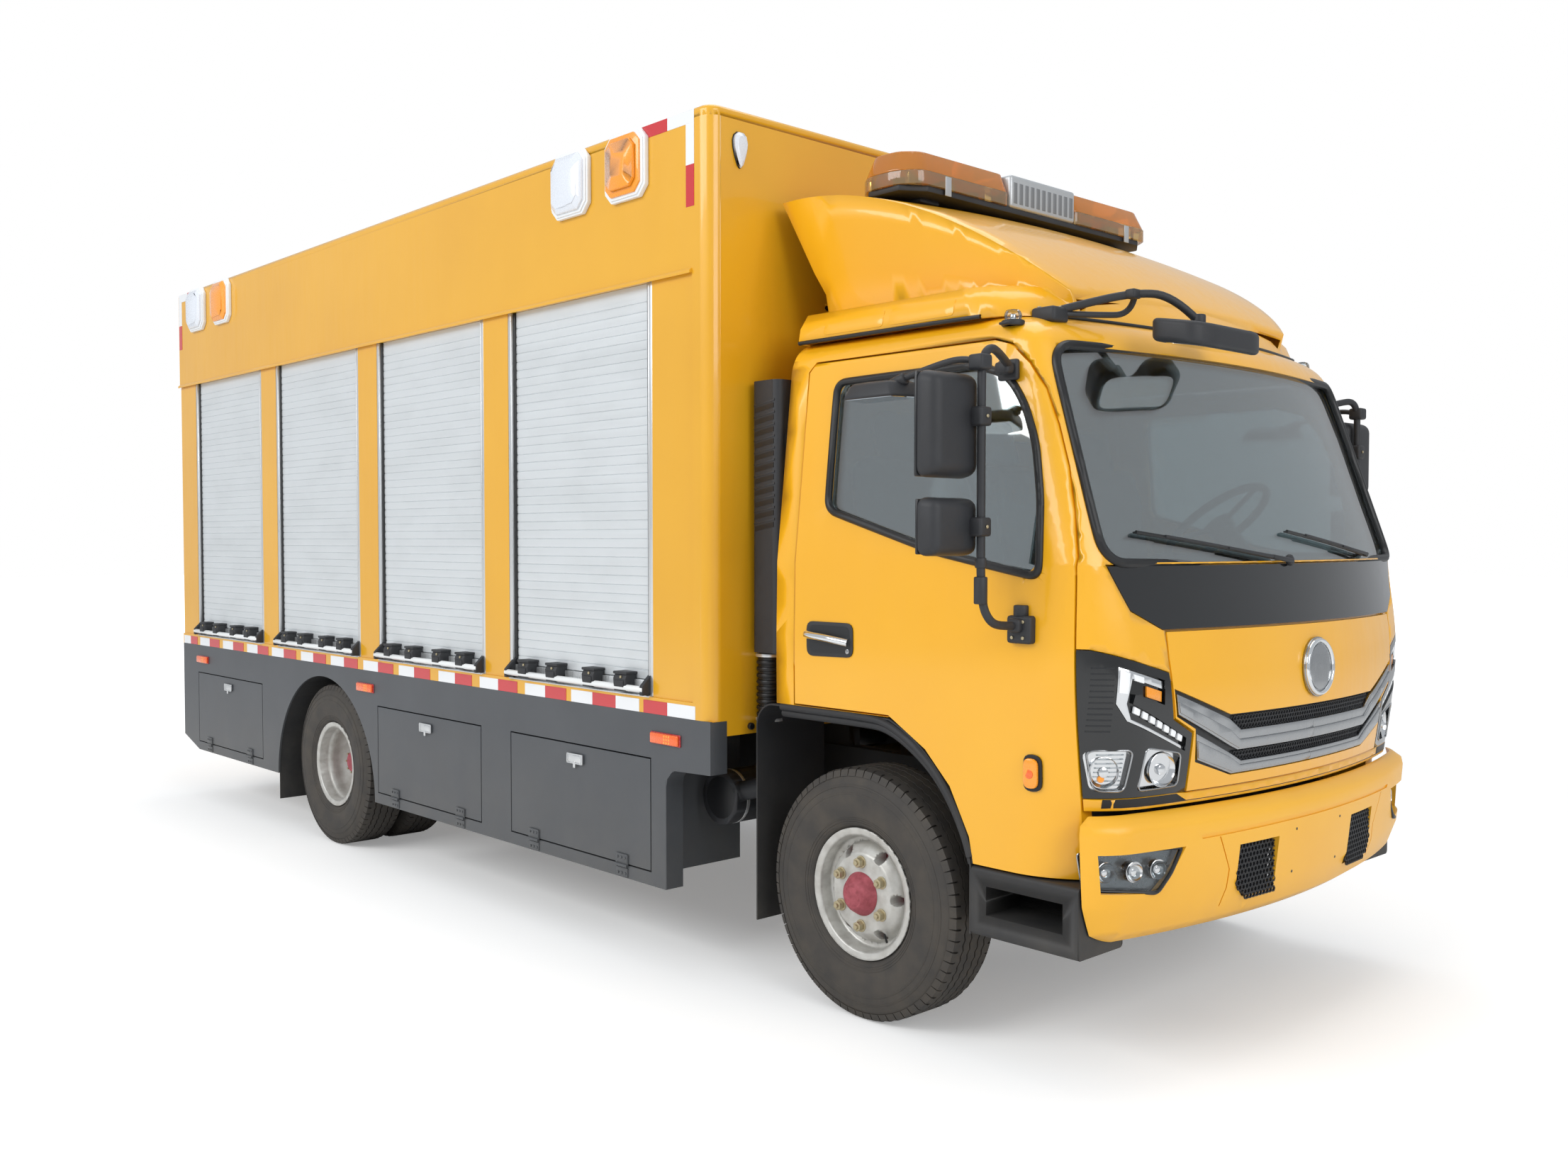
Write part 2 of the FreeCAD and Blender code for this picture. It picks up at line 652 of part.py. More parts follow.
def roller_shutters():
    pieces = []
    inner = "box_half - wall"
    for i in range(4):
        front = f"(box_front - first_post - {i} * (shutter_width + post_width))"
        rear = f"({front} - shutter_width)"
        face = f"({inner} + guide_depth - 6)"
        lap = "fit_gap"
        curtain = block(f"curtain_{i}", (f"{rear} + 10", f"{front} - 10"),
                        (f"{inner} + 2", f"{inner} + 2 + curtain_depth"),
                        (f"sill_z + {lap}", f"lintel_z - {lap}"))
        posts = [block(f"guide_rear_{i}", (f"{rear} + {lap}", f"{rear} + guide_width"), (inner, face),
                       (f"sill_z + {lap}", f"lintel_z - {lap}")),
                 block(f"guide_front_{i}", (f"{front} - guide_width", f"{front} - {lap}"), (inner, face),
                       (f"sill_z + {lap}", f"lintel_z - {lap}"))]
        foot = block(f"bottom_rail_{i}", (f"{rear} + guide_width - 2", f"{front} - guide_width + 2"),
                     (f"{inner} + 4", f"{inner} + 28"), (f"sill_z + {lap}", "sill_z + 62"))
        bar = rod(f"lift_bar_{i}", "x", "lift_bar_radius", (f"{rear} + 4", f"{front} - 4"),
                  "box_half + lift_bar_out", "lift_bar_z")
        ends = [block(f"bar_end_{i}_{word}", (low, high), (f"{inner} + 20", "box_half + lift_bar_out + 8"),
                      ("lift_bar_z - 22", "lift_bar_z + 50"))
                for word, low, high in (("rear", f"{rear} + 4", f"{rear} + 44"),
                                        ("front", f"{front} - 44", f"{front} - 4"))]
        latches = [block(f"bar_latch_{i}_{j}", (f"{rear} + shutter_width * {share} - 45",
                                                f"{rear} + shutter_width * {share} + 45"),
                         (f"{inner} + 20", "box_half + lift_bar_out + 4"),
                         ("lift_bar_z - 6", "lift_bar_z + 56"))
                   for j, share in enumerate(("0.16", "0.37", "0.63", "0.84"))]
        pieces.append(joined(f"shutter_{i}", curtain, *posts, foot, bar, *ends, *latches))
    both_sides(together("shutters", *pieces), "roller_shutters")


def rear_door():
    gap = "move_gap"
    leaf = block("rear_leaf", ("box_rear", "box_rear + rear_door_thick"), (gap, f"box_half - wall - {gap}"),
                 (f"sill_z + {gap}", f"box_top - wall - {gap}"))
    rods = []
    for i, share in enumerate(("0.18", "0.62")):
        across = f"(box_half * {share})"
        rods.append(rod(f"lock_rod_{i}", "z", "lock_rod_radius", ("sill_z + 30", "box_top - wall - 30"),
                        "box_rear - 20", across))
        for j, height in enumerate(("sill_z + 120", "sill_z + 1000", "box_top - 170")):
            rods.append(block(f"rod_guide_{i}_{j}", ("box_rear - 33", "box_rear"),
                              (f"{across} - 30", f"{across} + 30"),
                              (height, f"{height} + 50")))
        rods.append(block(f"rod_handle_{i}", ("box_rear - 32", "box_rear - 18"),
                          (f"{across} - 12", f"{across} + 190"),
                          ("sill_z + 560", "sill_z + 595")))
        rods.append(block(f"handle_keep_{i}", ("box_rear - 33", "box_rear"),
                          (f"{across} + 150", f"{across} + 180"),
                          ("sill_z + 545", "sill_z + 610")))
    for j, height in enumerate(("sill_z + 180", "sill_z + 1000", "box_top - 330")):
        rods.append(block(f"hinge_leaf_{j}", ("box_rear - 6", "box_rear"),
                          ("box_half - wall - 130", f"box_half - wall - {gap}"), (height, f"{height} + 90")))
        rods.append(block(f"hinge_neck_{j}", ("box_rear - 9", "box_rear - 3"),
                          (f"box_half - wall - {gap} - 2", "box_half - wall"), (height, f"{height} + 90")))
        rods.append(rod(f"hinge_barrel_{j}", "z", "hinge_out - pin_gap", (height, f"{height} + 90"),
                        "box_rear - hinge_out", "box_half - wall"))
    left = node(joined("rear_leaf_left", leaf, *rods), "rear_door_left")
    other_side(left, "rear_door_right")


def skirts():
    body = new_body("skirt")
    sketch = new_sketch(body, "XZ_Plane", "-box_half")
    draw_loop(sketch, [("box_rear", "skirt_base + skirt_tail_rise"),
                       ("box_rear + skirt_tail_run", "skirt_base"),
                       ("skirt_front", "skirt_base"), ("skirt_front", "skirt_notch_z - 45"),
                       ("skirt_front + 45", "skirt_notch_z"), ("box_front", "skirt_notch_z + 8"),
                       ("box_front", "tape_base"), ("box_rear", "tape_base")])
    pad(body, sketch, "skirt_thick")
    doc.recompute()
    arch = new_sketch(body, "XZ_Plane")
    draw_circle(arch, f"{REAR_AXLE} - arch_back", "skirt_base", "arch_radius")
    pocket(body, arch)
    for mid in ("rear_lid_mid", "middle_lid_mid", "front_lid_mid"):
        hole = new_sketch(body, "XZ_Plane")
        reach = "(lid_width / 2 + lid_gap)"
        draw_loop(hole, [(f"{mid} - {reach}", "lid_low - lid_gap"), (f"{mid} + {reach}", "lid_low - lid_gap"),
                         (f"{mid} + {reach}", "lid_high + lid_gap"),
                         (f"{mid} - {reach}", "lid_high + lid_gap")])
        pocket(body, hole)
    both_sides(body, "side_skirts")

    lockers = []
    for word, mid in (("rear", "rear_lid_mid"), ("middle", "middle_lid_mid"), ("front", "front_lid_mid")):
        reach = "(lid_width / 2 + lid_gap + locker_wall)"
        face = "box_half - skirt_thick"
        outer = block(f"locker_{word}", (f"{mid} - {reach}", f"{mid} + {reach}"),
                      (f"{face} - locker_depth", face), ("lid_low - lid_gap - locker_wall", "box_base"))
        inner = block(f"locker_room_{word}", (f"{mid} - {reach} + locker_wall",
                                              f"{mid} + {reach} - locker_wall"),
                      (f"{face} - locker_depth + locker_wall", f"{face} + 1"),
                      ("lid_low - lid_gap", "lid_high + lid_gap"))
        lockers.append(without(f"locker_{word}_open", outer, inner))
    both_sides(together("lockers_one_side", *lockers), "lockers")

    for word, mid in (("rear", "rear_lid_mid"), ("middle", "middle_lid_mid"), ("front", "front_lid_mid")):
        leaf = block(f"lid_{word}", (f"{mid} - lid_width / 2", f"{mid} + lid_width / 2"),
                     ("box_half - lid_thick", "box_half"), ("lid_low", "lid_high"))
        latch = block(f"lid_latch_{word}", (f"{mid} - latch_length / 2", f"{mid} + latch_length / 2"),
                      ("box_half - 2", "box_half + 7"),
                      ("latch_z - latch_height / 2", "latch_z + latch_height / 2"))
        hinges = []
        for way in ("-", "+"):
            low, high = f"{mid} {way} 315 - 40", f"{mid} {way} 315 + 40"
            hinges.append(rod(f"lid_pin_{word}_{len(hinges)}", "x", "lid_hinge_out - pin_gap", (low, high),
                              "box_half + lid_hinge_out", "lid_low - lid_hinge_drop"))
            hinges.append(block(f"lid_leaf_{word}_{len(hinges)}", (low, high),
                                ("box_half - 1", "box_half + 5"), ("lid_low", "lid_low + 34")))
            hinges.append(block(f"lid_neck_{word}_{len(hinges)}", (low, high),
                                ("box_half + 1.5", "box_half + 5"),
                                ("lid_low - lid_hinge_drop", "lid_low + 1")))
        lid = node(joined(f"lid_{word}_whole", leaf, latch, *hinges), f"{word}_lid_left")
        other_side(lid, f"{word}_lid_right")


def rear_fittings():
    bar = block("underrun_bar", ("frame_rear - 75", "frame_rear"), ("-1050", "1050"), ("430", "530"))
    panels = [block(f"lamp_bracket_{side + 1}", ("frame_rear - 20", "frame_rear - 12"),
                    (f"{side} * 900 - 150", f"{side} * 900 + 150"), ("529", "box_base"))
              for side in (LEFT, RIGHT)]
    node(joined("underrun", bar, *panels), "rear_bumper")
    lamp = block("tail_lamp", ("frame_rear - 75", "frame_rear - 20"), ("750", "1010"), ("690", "790"))

    cases = []
    for i, x in enumerate(("1318", "945", "-2745", "-3145")):
        cases.append(block(f"side_lamp_{i}", (f"{x} - 140", f"{x} + 140"), ("box_half", "box_half + 58"),
                           ("2918", "3182")))
    both_sides(together("side_lamps", *cases), "warning_lamps")

    cases = [block(f"marker_{i}", (f"{x} - 92", f"{x} + 92"), ("box_half", "box_half + 16"), ("857", "903"))
             for i, x in enumerate(("1541", "-925", "-3147"))]
    cases.append(block("corner_marker", ("box_front", "box_front + 30"), ("1000", "1068"), ("2976", "3104")))
    both_sides(together("markers", *cases, lamp), "marker_and_tail_lamps")


def swept_sheet(path, thick, low, high):
    """A bent sheet: a path in the XZ plane, thickened inwards, from y = low to y = high."""
    face = path.makeOffset2D(thick, 0, True, True)
    solid = face.extrude(Vector(0, high - low, 0))
    solid.translate(Vector(0, low, 0))
    return solid


def arc_through(a, b, c):
    return Part.Arc(*(Vector(x, 0, z) for x, z in (a, b, c))).toShape()


def line_between(a, b):
    return Part.LineSegment(Vector(a[0], 0, a[1]), Vector(b[0], 0, b[1])).toShape()


def mudguards():
    mid_x, low = rear_axle_x - size["arch_back"], size["skirt_base"]
    radius = size["box_base"] - low - size["fit_gap"]
    arch = Part.Wire([arc_through((mid_x - radius, low), (mid_x, low + radius), (mid_x + radius, low))])
    tyre_in = size["rear_wheel_y"] - size["twin_half"] - size["tyre_half"]
    inner, outer = tyre_in - 10, size["box_half"] - size["skirt_thick"] - 1
    hoop = swept_sheet(arch, size["guard_thick"], inner, outer)
    flap = box_between((mid_x - radius, inner, 160), (mid_x - radius + size["guard_thick"], outer, low + 2))
    hoop = hoop.fuse(flap).removeSplitter()
    top = [size["guard_rear"], size["guard_top"], size["guard_front"]]
    path = Part.Wire([
        line_between((top[0], 240), (top[0], top[1] - 90)),
        arc_through((top[0], top[1] - 90), (top[0] + 26, top[1] - 26), (top[0] + 90, top[1])),
        line_between((top[0] + 90, top[1]), (top[2] - 350, top[1])),
        arc_through((top[2] - 350, top[1]), (top[2] - 104, top[1] - 185), (top[2], size["door_base"] - 10)),
        line_between((top[2], size["door_base"] - 10), (top[2], size["step_base"]))])
    front = swept_sheet(path, -size["guard_thick"], 690, size["cab_half"])
    guards = [hoop, mirrored(hoop), front, mirrored(front)]
    node(feature("guards", Part.makeCompound(guards)), "mudguards")

    edge = size["guard_front"] + size["fit_gap"]
    step = box_between((edge, size["step_inner"], size["step_base"]),
                       (size["bumper_rear"] - size["move_gap"], size["cab_half"], size["door_base"] - 7))
    step = rounded(step, "x", 14)
    well = box_between((edge + 60, size["step_inner"] + 60, 470),
                       (size["bumper_rear"] - 60, size["cab_half"] + 1, 560))
    arm = box_between((edge + 90, size["rail_out"], 640 - 80), (edge + 170, size["step_inner"] + 1, 600))
    hang = box_between((edge + 90, size["rail_out"], 560), (edge + 170, size["rail_out"] + 10, 700))
    step = step.cut(well).multiFuse([arm, hang]).removeSplitter()
    node(feature("steps", Part.makeCompound([step, mirrored(step)])), "cab_steps")


# ---------------------------------------------------------------- cab

def bowed_section(z, front, half, corner, rear):
    """A closed outline at height z: a bowed front, round front corners, straight sides and back."""
    bow = size["bow_radius"]
    centre_y = half - corner
    centre_x = front - bow + math.sqrt((bow - corner) ** 2 - centre_y ** 2)
    share = bow / (bow - corner)
    meet = Vector(front - bow + (centre_x - front + bow) * share, centre_y * share, z)
    turn = math.atan2(meet.y - centre_y, meet.x - centre_x)
    halfway = (turn + math.pi / 2) / 2
    bend = Vector(centre_x + corner * math.cos(halfway), centre_y + corner * math.sin(halfway), z)
    side = Vector(centre_x, half, z)
    tail = Vector(rear, half, z)

    def over(v):
        return Vector(v.x, -v.y, v.z)

    return Part.Wire([
        Part.LineSegment(tail, side).toShape(),
        Part.Arc(side, bend, meet).toShape(),
        Part.Arc(meet, Vector(front, 0, z), over(meet)).toShape(),
        Part.Arc(over(meet), over(bend), over(side)).toShape(),
        Part.LineSegment(over(side), over(tail)).toShape(),
        Part.LineSegment(over(tail), tail).toShape()])


def stacked(rows, inset=0.0, ruled=False):
    """A solid through outlines at rising heights; each row is (z, front, half width, corner, rear)."""
    wires = [bowed_section(z, front - inset, half - inset, max(corner - inset, 40), rear + inset)
             for z, front, half, corner, rear in rows]
    return Part.makeLoft(wires, True, ruled)


def lower_cab(inset=0.0):
    """The cab's form below the belt line, or the same form shrunk all round by inset."""
    half, rear, front = size["cab_half"], size["cab_rear"], size["belt_front"]
    rows = [(600, front - 18, half, 300, rear), (830, front + 12, half, 300, rear),
            (1000, front + 36, half + 2, 290, rear), (1150, front + 48, half + 4, 270, rear),
            (1360, front + 32, half + 3, 215, rear),
            (size["belt_z"], front, half, size["pillar_round"] + 45, rear)]
    return stacked(rows, inset)


def cab_solid(inset=0.0):
    """The cab's outer form, or the same form shrunk all round by inset."""
    half, rear, belt = size["cab_half"], size["cab_rear"], size["belt_z"]
    eave, eave_front, eave_half = size["roof_eave_z"], size["roof_eave_front"], size["roof_eave_half"]
    front = size["belt_front"]
    lean = (front - eave_front) / (eave - belt)
    narrow = (half - eave_half) / (eave - belt)
    corner = size["pillar_round"]
    high = [(z, front - (z - belt) * lean, half - (z - belt) * narrow, corner + more, rear)
            for z, more in ((belt, 45), (1780, 20), (2010, 5), (eave, 0))]
    cap = [(eave, eave_front, eave_half, corner, rear),
           (eave + 45, eave_front - 30, eave_half - 14, corner + 10, rear + 5),
           (eave + 80, eave_front - 78, eave_half - 42, corner + 40, rear + 14),
           (eave + 102, eave_front - 150, eave_half - 95, corner + 65, rear + 30),
           (eave + 112, eave_front - 240, eave_half - 170, corner + 85, rear + 60)]
    if inset:
        cap = [(z - inset, *rest) for z, *rest in cap]
        high = high[:-1] + cap[:1]
    solid = lower_cab(inset).fuse(stacked(high, inset, ruled=True)).fuse(stacked(cap, inset))
    return solid.removeSplitter()


def grown(points, by):
    """An outline with every side moved outwards by the given amount."""
    wire = Part.makePolygon([Vector(a, b, 0) for a, b in points + points[:1]])
    face = Part.Face(wire)
    wider = face.makeOffset2D(by, 2)
    return [(v.Point.x, v.Point.y) for v in wider.OuterWire.OrderedVertexes]


def door_outline():
    rear, front, low, top = size["door_rear"], size["door_front"], size["door_base"], size["door_top"]
    sill, arch = size["guard_top"] + 12, size["guard_front"]
    return [(rear, sill), (arch - 350, sill), (arch - 190, sill - 95), (arch - 88, sill - 200),
            (arch - 8, sill - 350), (arch + 8, low), (front, low), (front, 1577), (front - 28, 1709),
            (front - 63, 1842), (front - 107, 1971), (front - 153, 2082), (front - 206, top - 83),
            (front - 271, top - 21), (front - 340, top), (rear + 30, top), (rear, top - 30)]


def window_outline():
    rear, front, top = size["door_rear"] + 150, size["door_front"] - 115, size["door_top"] - 80
    return [(rear, 1732), (front - 400, 1598), (front, 1520), (front - 15, 1750), (front - 48, 1915),
            (front - 98, top - 130), (front - 166, top - 42), (front - 290, top), (rear, top)]


WINDSCREEN = [(-936, 1560), (936, 1560), (892, 2222), (-892, 2222)]
COWL = [(-760, 1362), (760, 1362), (872, 1420), (936, 1552), (-936, 1552), (-872, 1420)]
HOOD = [(-640, 868), (640, 868), (640, 1052), (722, 1098), (738, 1205), (747, 1280), (747, 1354),
        (-747, 1354), (-747, 1280), (-738, 1205), (-722, 1098), (-640, 1052)]
LAMP = [(649, 868), (1300, 868), (1300, 1318), (985, 1306), (752, 1234), (747, 1205), (731, 1093),
        (649, 1047)]
REAR_WINDOW = [(-470, 1640), (470, 1640), (470, 2040), (-470, 2040)]


def cab():
    outer, lining = cab_solid(), cab_solid(size["cab_skin"])
    skin = outer.cut(lining)
    far = size["nose_x"] + 200
    half = size["cab_half"] + 100
    seam = size["seam"]
    room = lining.common(box_between((0, -half, size["cab_under"] + size["cab_floor_thick"]),
                                     (far, half, 3000)))
    under = lining.common(box_between((0, -half, 0), (far, half, size["cab_under"])))
    shell = outer.cut(room).cut(under)
    arch = size["guard_front"] + 8
    shell = shell.cut(box_between((0, -half, 0), (arch, half, size["cab_under"])))
    shell = shell.cut(box_between((0, -half, 0), (size["door_front"] + seam, half, size["door_base"] + 6)))
    shell = shell.cut(box_between((0, -half, 0), (far, half, size["front_under"])))

    door_line = door_outline()
    door_tool = prism(door_line, "y", 600, half)
    door_space = prism(grown(door_line, seam), "y", 600, half).cut(cab_solid(size["door_skin"] + seam))
    door_space = door_space.cut(prism(grown(WINDSCREEN, size["pillar_edge"]), "x", 2500, far))
    shell = shell.cut(door_space).cut(mirrored(door_space))

    window = rounded(prism(window_outline(), "y", 600, half), "y", 45)
    pillar_face = prism(grown(WINDSCREEN, size["pillar_edge"] + seam), "x", 2500, far)
    door = skin.common(door_tool).cut(window).cut(pillar_face)
    pane_zone = outer_layer().common(rounded(prism(grown(window_outline(), -size["fit_gap"]), "y", 600, half),
                                             "y", 45))
    left = node(feature("door", door), "cab_door_left")
    glass = node(feature("door_pane", pane_zone), "door_window_left")
    other_side(left, "cab_door_right")
    other_side(glass, "door_window_right")

    screen = rounded(prism(WINDSCREEN, "x", 2500, far), "x", 75)
    screen_pane = rounded(prism(grown(WINDSCREEN, -size["fit_gap"]), "x", 2500, far), "x", 75)
    back = rounded(prism(REAR_WINDOW, "x", 1900, size["cab_rear"] + size["cab_skin"] + 60), "x", 50)
    pane = rounded(prism(grown(REAR_WINDOW, -size["fit_gap"]), "x", size["cab_rear"] + 12,
                         size["cab_rear"] + 17), "x", 50)
    shell = shell.cut(screen).cut(back)
    front_glass = outer_layer().common(screen_pane)
    node(feature("panes", Part.makeCompound([front_glass, pane])), "cab_glass")

    front = {}
    panel_layer = lower_cab().cut(lower_cab(size["panel_thick"]))
    recess = outer.cut(cab_solid(size["panel_thick"] + size["fit_gap"]))
    for label, outline, edge_gap in (("cowl_panel", COWL, seam / 2), ("front_panel", HOOD, seam)):
        hole = prism(grown(outline, edge_gap), "x", 2900, far)
        front[label] = panel_layer.common(prism(outline, "x", 2900, far))
        shell = shell.cut(hole.common(recess))
    lamp_hole = prism(grown(LAMP, seam / 2), "x", size["door_front"] + seam / 2, far)
    lamp = panel_layer.common(prism(LAMP, "x", size["door_front"] + seam, far))
    for hole in (lamp_hole, mirrored(lamp_hole)):
        shell = shell.cut(hole.common(recess))
    shell = shell.multiFuse(door_jambs())
    hump = box_between((2080, -330, size["cab_under"] + size["cab_floor_thick"] - 2), (2950, 330, 1240))
    shell = shell.fuse(rounded(hump, "x", 40)).removeSplitter()
    node(feature("cab_body", shell), "cab_shell")
    node(feature("cowl", front["cowl_panel"]), "cowl_panel")
    node(feature("hood", front["front_panel"]), "front_panel")
    node(feature("lamps_front", Part.makeCompound([lamp, mirrored(lamp)])), "headlamps")


def door_jambs():
    """A strip down each rear door post that the closed door lies against."""
    skin, deep = size["cab_skin"], size["cab_skin"] + 30
    inner, rear = cab_solid(deep), size["cab_rear"] + deep + 1
    strips = []
    for start, front in ((skin + size["fit_gap"], size["door_rear"] + 20),
                         (skin - 10, size["door_rear"] - size["seam"])):
        layer = cab_solid(start).cut(inner)
        for side in (LEFT, RIGHT):
            low, high = sorted((side * 800, side * 1100))
            strips.append(layer.common(box_between((rear, low, size["cab_under"] + 50), (front, high, 2190))))
    return strips


def outer_layer():
    """The thin layer that the glass follows, just inside the cab's surface."""
    inset = size["glass_inset"]
    return cab_solid(inset).cut(cab_solid(inset + size["glass_thick"]))


def cab_inside():
    floor = size["cab_under"] + size["cab_floor_thick"]
    dash = prism([(3010, 1330), (3035, 1500), (3130, 1570), (3250, 1575), (3290, 1500), (3290, floor),
                  (3180, floor), (3150, 1250)], "y", -880, 880)
    ring = size["steering_wheel_radius"]
    dash = dash.common(cab_solid(size["cab_skin"] + 6))
    centre, tilt = Vector(2860, 480, 1690), math.radians(50)
    axis = Vector(math.cos(tilt), 0, -math.sin(tilt))
    hub_end = 40
    shroud = Part.makeCylinder(46, 290, centre + axis * (hub_end + size["fit_gap"]), axis)
    node(feature("dash", dash.fuse(shroud).removeSplitter()), "dashboard")
    wheel = Part.makeTorus(ring, 15, centre, axis)
    hub = Part.makeCylinder(52, hub_end + 6, centre - axis * 6, axis)
    spokes = []
    for angle in (90, 210, 330):
        out = Vector(0, math.cos(math.radians(angle)),
                     0) + axis.cross(Vector(0, 1, 0)) * math.sin(math.radians(angle))
        spokes.append(bar_between(centre + axis * 12, centre + out * ring, 10))
    steering = wheel.multiFuse([hub] + spokes).removeSplitter()
    node(feature("hand_wheel", steering), "steering_wheel")

    def seat(low, high, base):
        cushion = rounded(box_between((2330, low, base), (2830, high, base + 150)), "y", 45)
        lean = rounded(box_between((0, low, 0), (130, high, 560)), "y", 50)
        lean.rotate(Vector(), Vector(0, 1, 0), -12)
        lean.translate(Vector(2262, 0, base + 70))
        head = rounded(box_between((0, (low + high) / 2 - 120, 0), (100, (low + high) / 2 + 120, 210)), "y",
                       40)
        head.rotate(Vector(), Vector(0, 1, 0), -12)
        head.translate(Vector(2158, 0, base + 570))
        return cushion, lean, head

    def pedestal(low, high, base):
        return box_between((2380, low + 40, floor), (2780, high - 40, base))

    driver = seat(365, 865, 1310)
    bench = seat(-890, 250, 1310)
    node(feature("driver", driver[0].multiFuse(driver[1:]).removeSplitter()), "driver_seat")
    first = bench[2].copy()
    first.translate(Vector(0, -270, 0))
    second = bench[2].copy()
    second.translate(Vector(0, 270, 0))
    node(feature("bench", bench[0].multiFuse([bench[1], first, second]).removeSplitter()), "passenger_seat")
    hump_top = 1240
    feet = [pedestal(365, 865, 1310), pedestal(-890, -340, 1310),
            box_between((2380, -320, hump_top), (2780, 210, 1310))]
    node(feature("pedestals", feet[0].multiFuse(feet[1:2]).fuse(feet[2]).removeSplitter()), "seat_bases")


def front_bumper():
    half, rear, nose = size["bumper_half"], size["bumper_rear"], size["nose_x"]
    far_back = rear - 300
    rows = [(z, front, across, 230, far_back) for z, front, across in (
        (430, nose - 110, half - 30), (470, nose - 55, half - 8), (560, nose - 22, half),
        (700, nose - 6, half),
        (775, nose, half), (800, nose - 6, half), (822, nose - 34, half - 22))]
    outer = stacked(rows, ruled=True).cut(box_between((far_back - 10, -half, 400), (rear, half, 900)))
    skin = size["bumper_skin"]
    room = [(455, nose - 95), (560, nose - 22 - skin), (700, nose - 6 - skin), (775, nose - skin),
            (860, nose - 75)]
    inside = stacked([(z, front, half - skin, 230 - skin, far_back) for z, front in room], ruled=True)
    shell = outer.cut(inside)
    mesh = prism([(-455, 690), (-455, 560), (-400, 515), (-250, 515), (-250, 690)], "x", 3300, 3700)
    fog = prism([(-1000, 715), (-985, 600), (-800, 585), (-745, 640), (-700, 715)], "x", 3200, 3700)
    for hole in (mesh, mirrored(mesh), fog, mirrored(fog)):
        shell = shell.cut(hole)
    beam = box_between((size["bumper_beam_x"], -560, 640), (size["bumper_beam_x"] + 70, 560, 740))
    ties = [box_between((size["bumper_beam_x"] + 60, across - 30, 705),
                        (nose + 50, across + 30, 735)).common(outer)
            for across in (-500, -120, 120, 500)]
    whole = shell.multiFuse([beam] + ties).removeSplitter()
    node(feature("bumper", whole), "front_bumper")


# ---------------------------------------------------------------- roof, mirrors and air intake

def fairing_section(x, ridge_half, ridge_z, crown, foot_half, foot_z):
    corners = [Vector(x, -foot_half, foot_z), Vector(x, -ridge_half, ridge_z), Vector(x, ridge_half, ridge_z),
               Vector(x, foot_half, foot_z)]
    return Part.Wire([Part.LineSegment(corners[0], corners[1]).toShape(),
                      Part.Arc(corners[1], Vector(x, 0, crown), corners[2]).toShape(),
                      Part.LineSegment(corners[2], corners[3]).toShape(),
                      Part.LineSegment(corners[3], corners[0]).toShape()])


def fairing_wing(skin=0.0):
    rear = size["fairing_rear"]
    rows = [(rear, 868, 2866, 2904), (rear + 250, 868, 2852, 2890), (rear + 550, 860, 2778, 2816),
            (rear + 830, 835, 2655, 2692), (rear + 1030, 780, 2530, 2562), (rear + 1160, 690, 2418, 2440)]
    wires = [fairing_section(x, ridge - skin, z - skin, crown - skin, min(ridge - 40, 762) - skin, 2330)
             for x, ridge, z, crown in rows]
    return Part.makeLoft(wires, True, False)


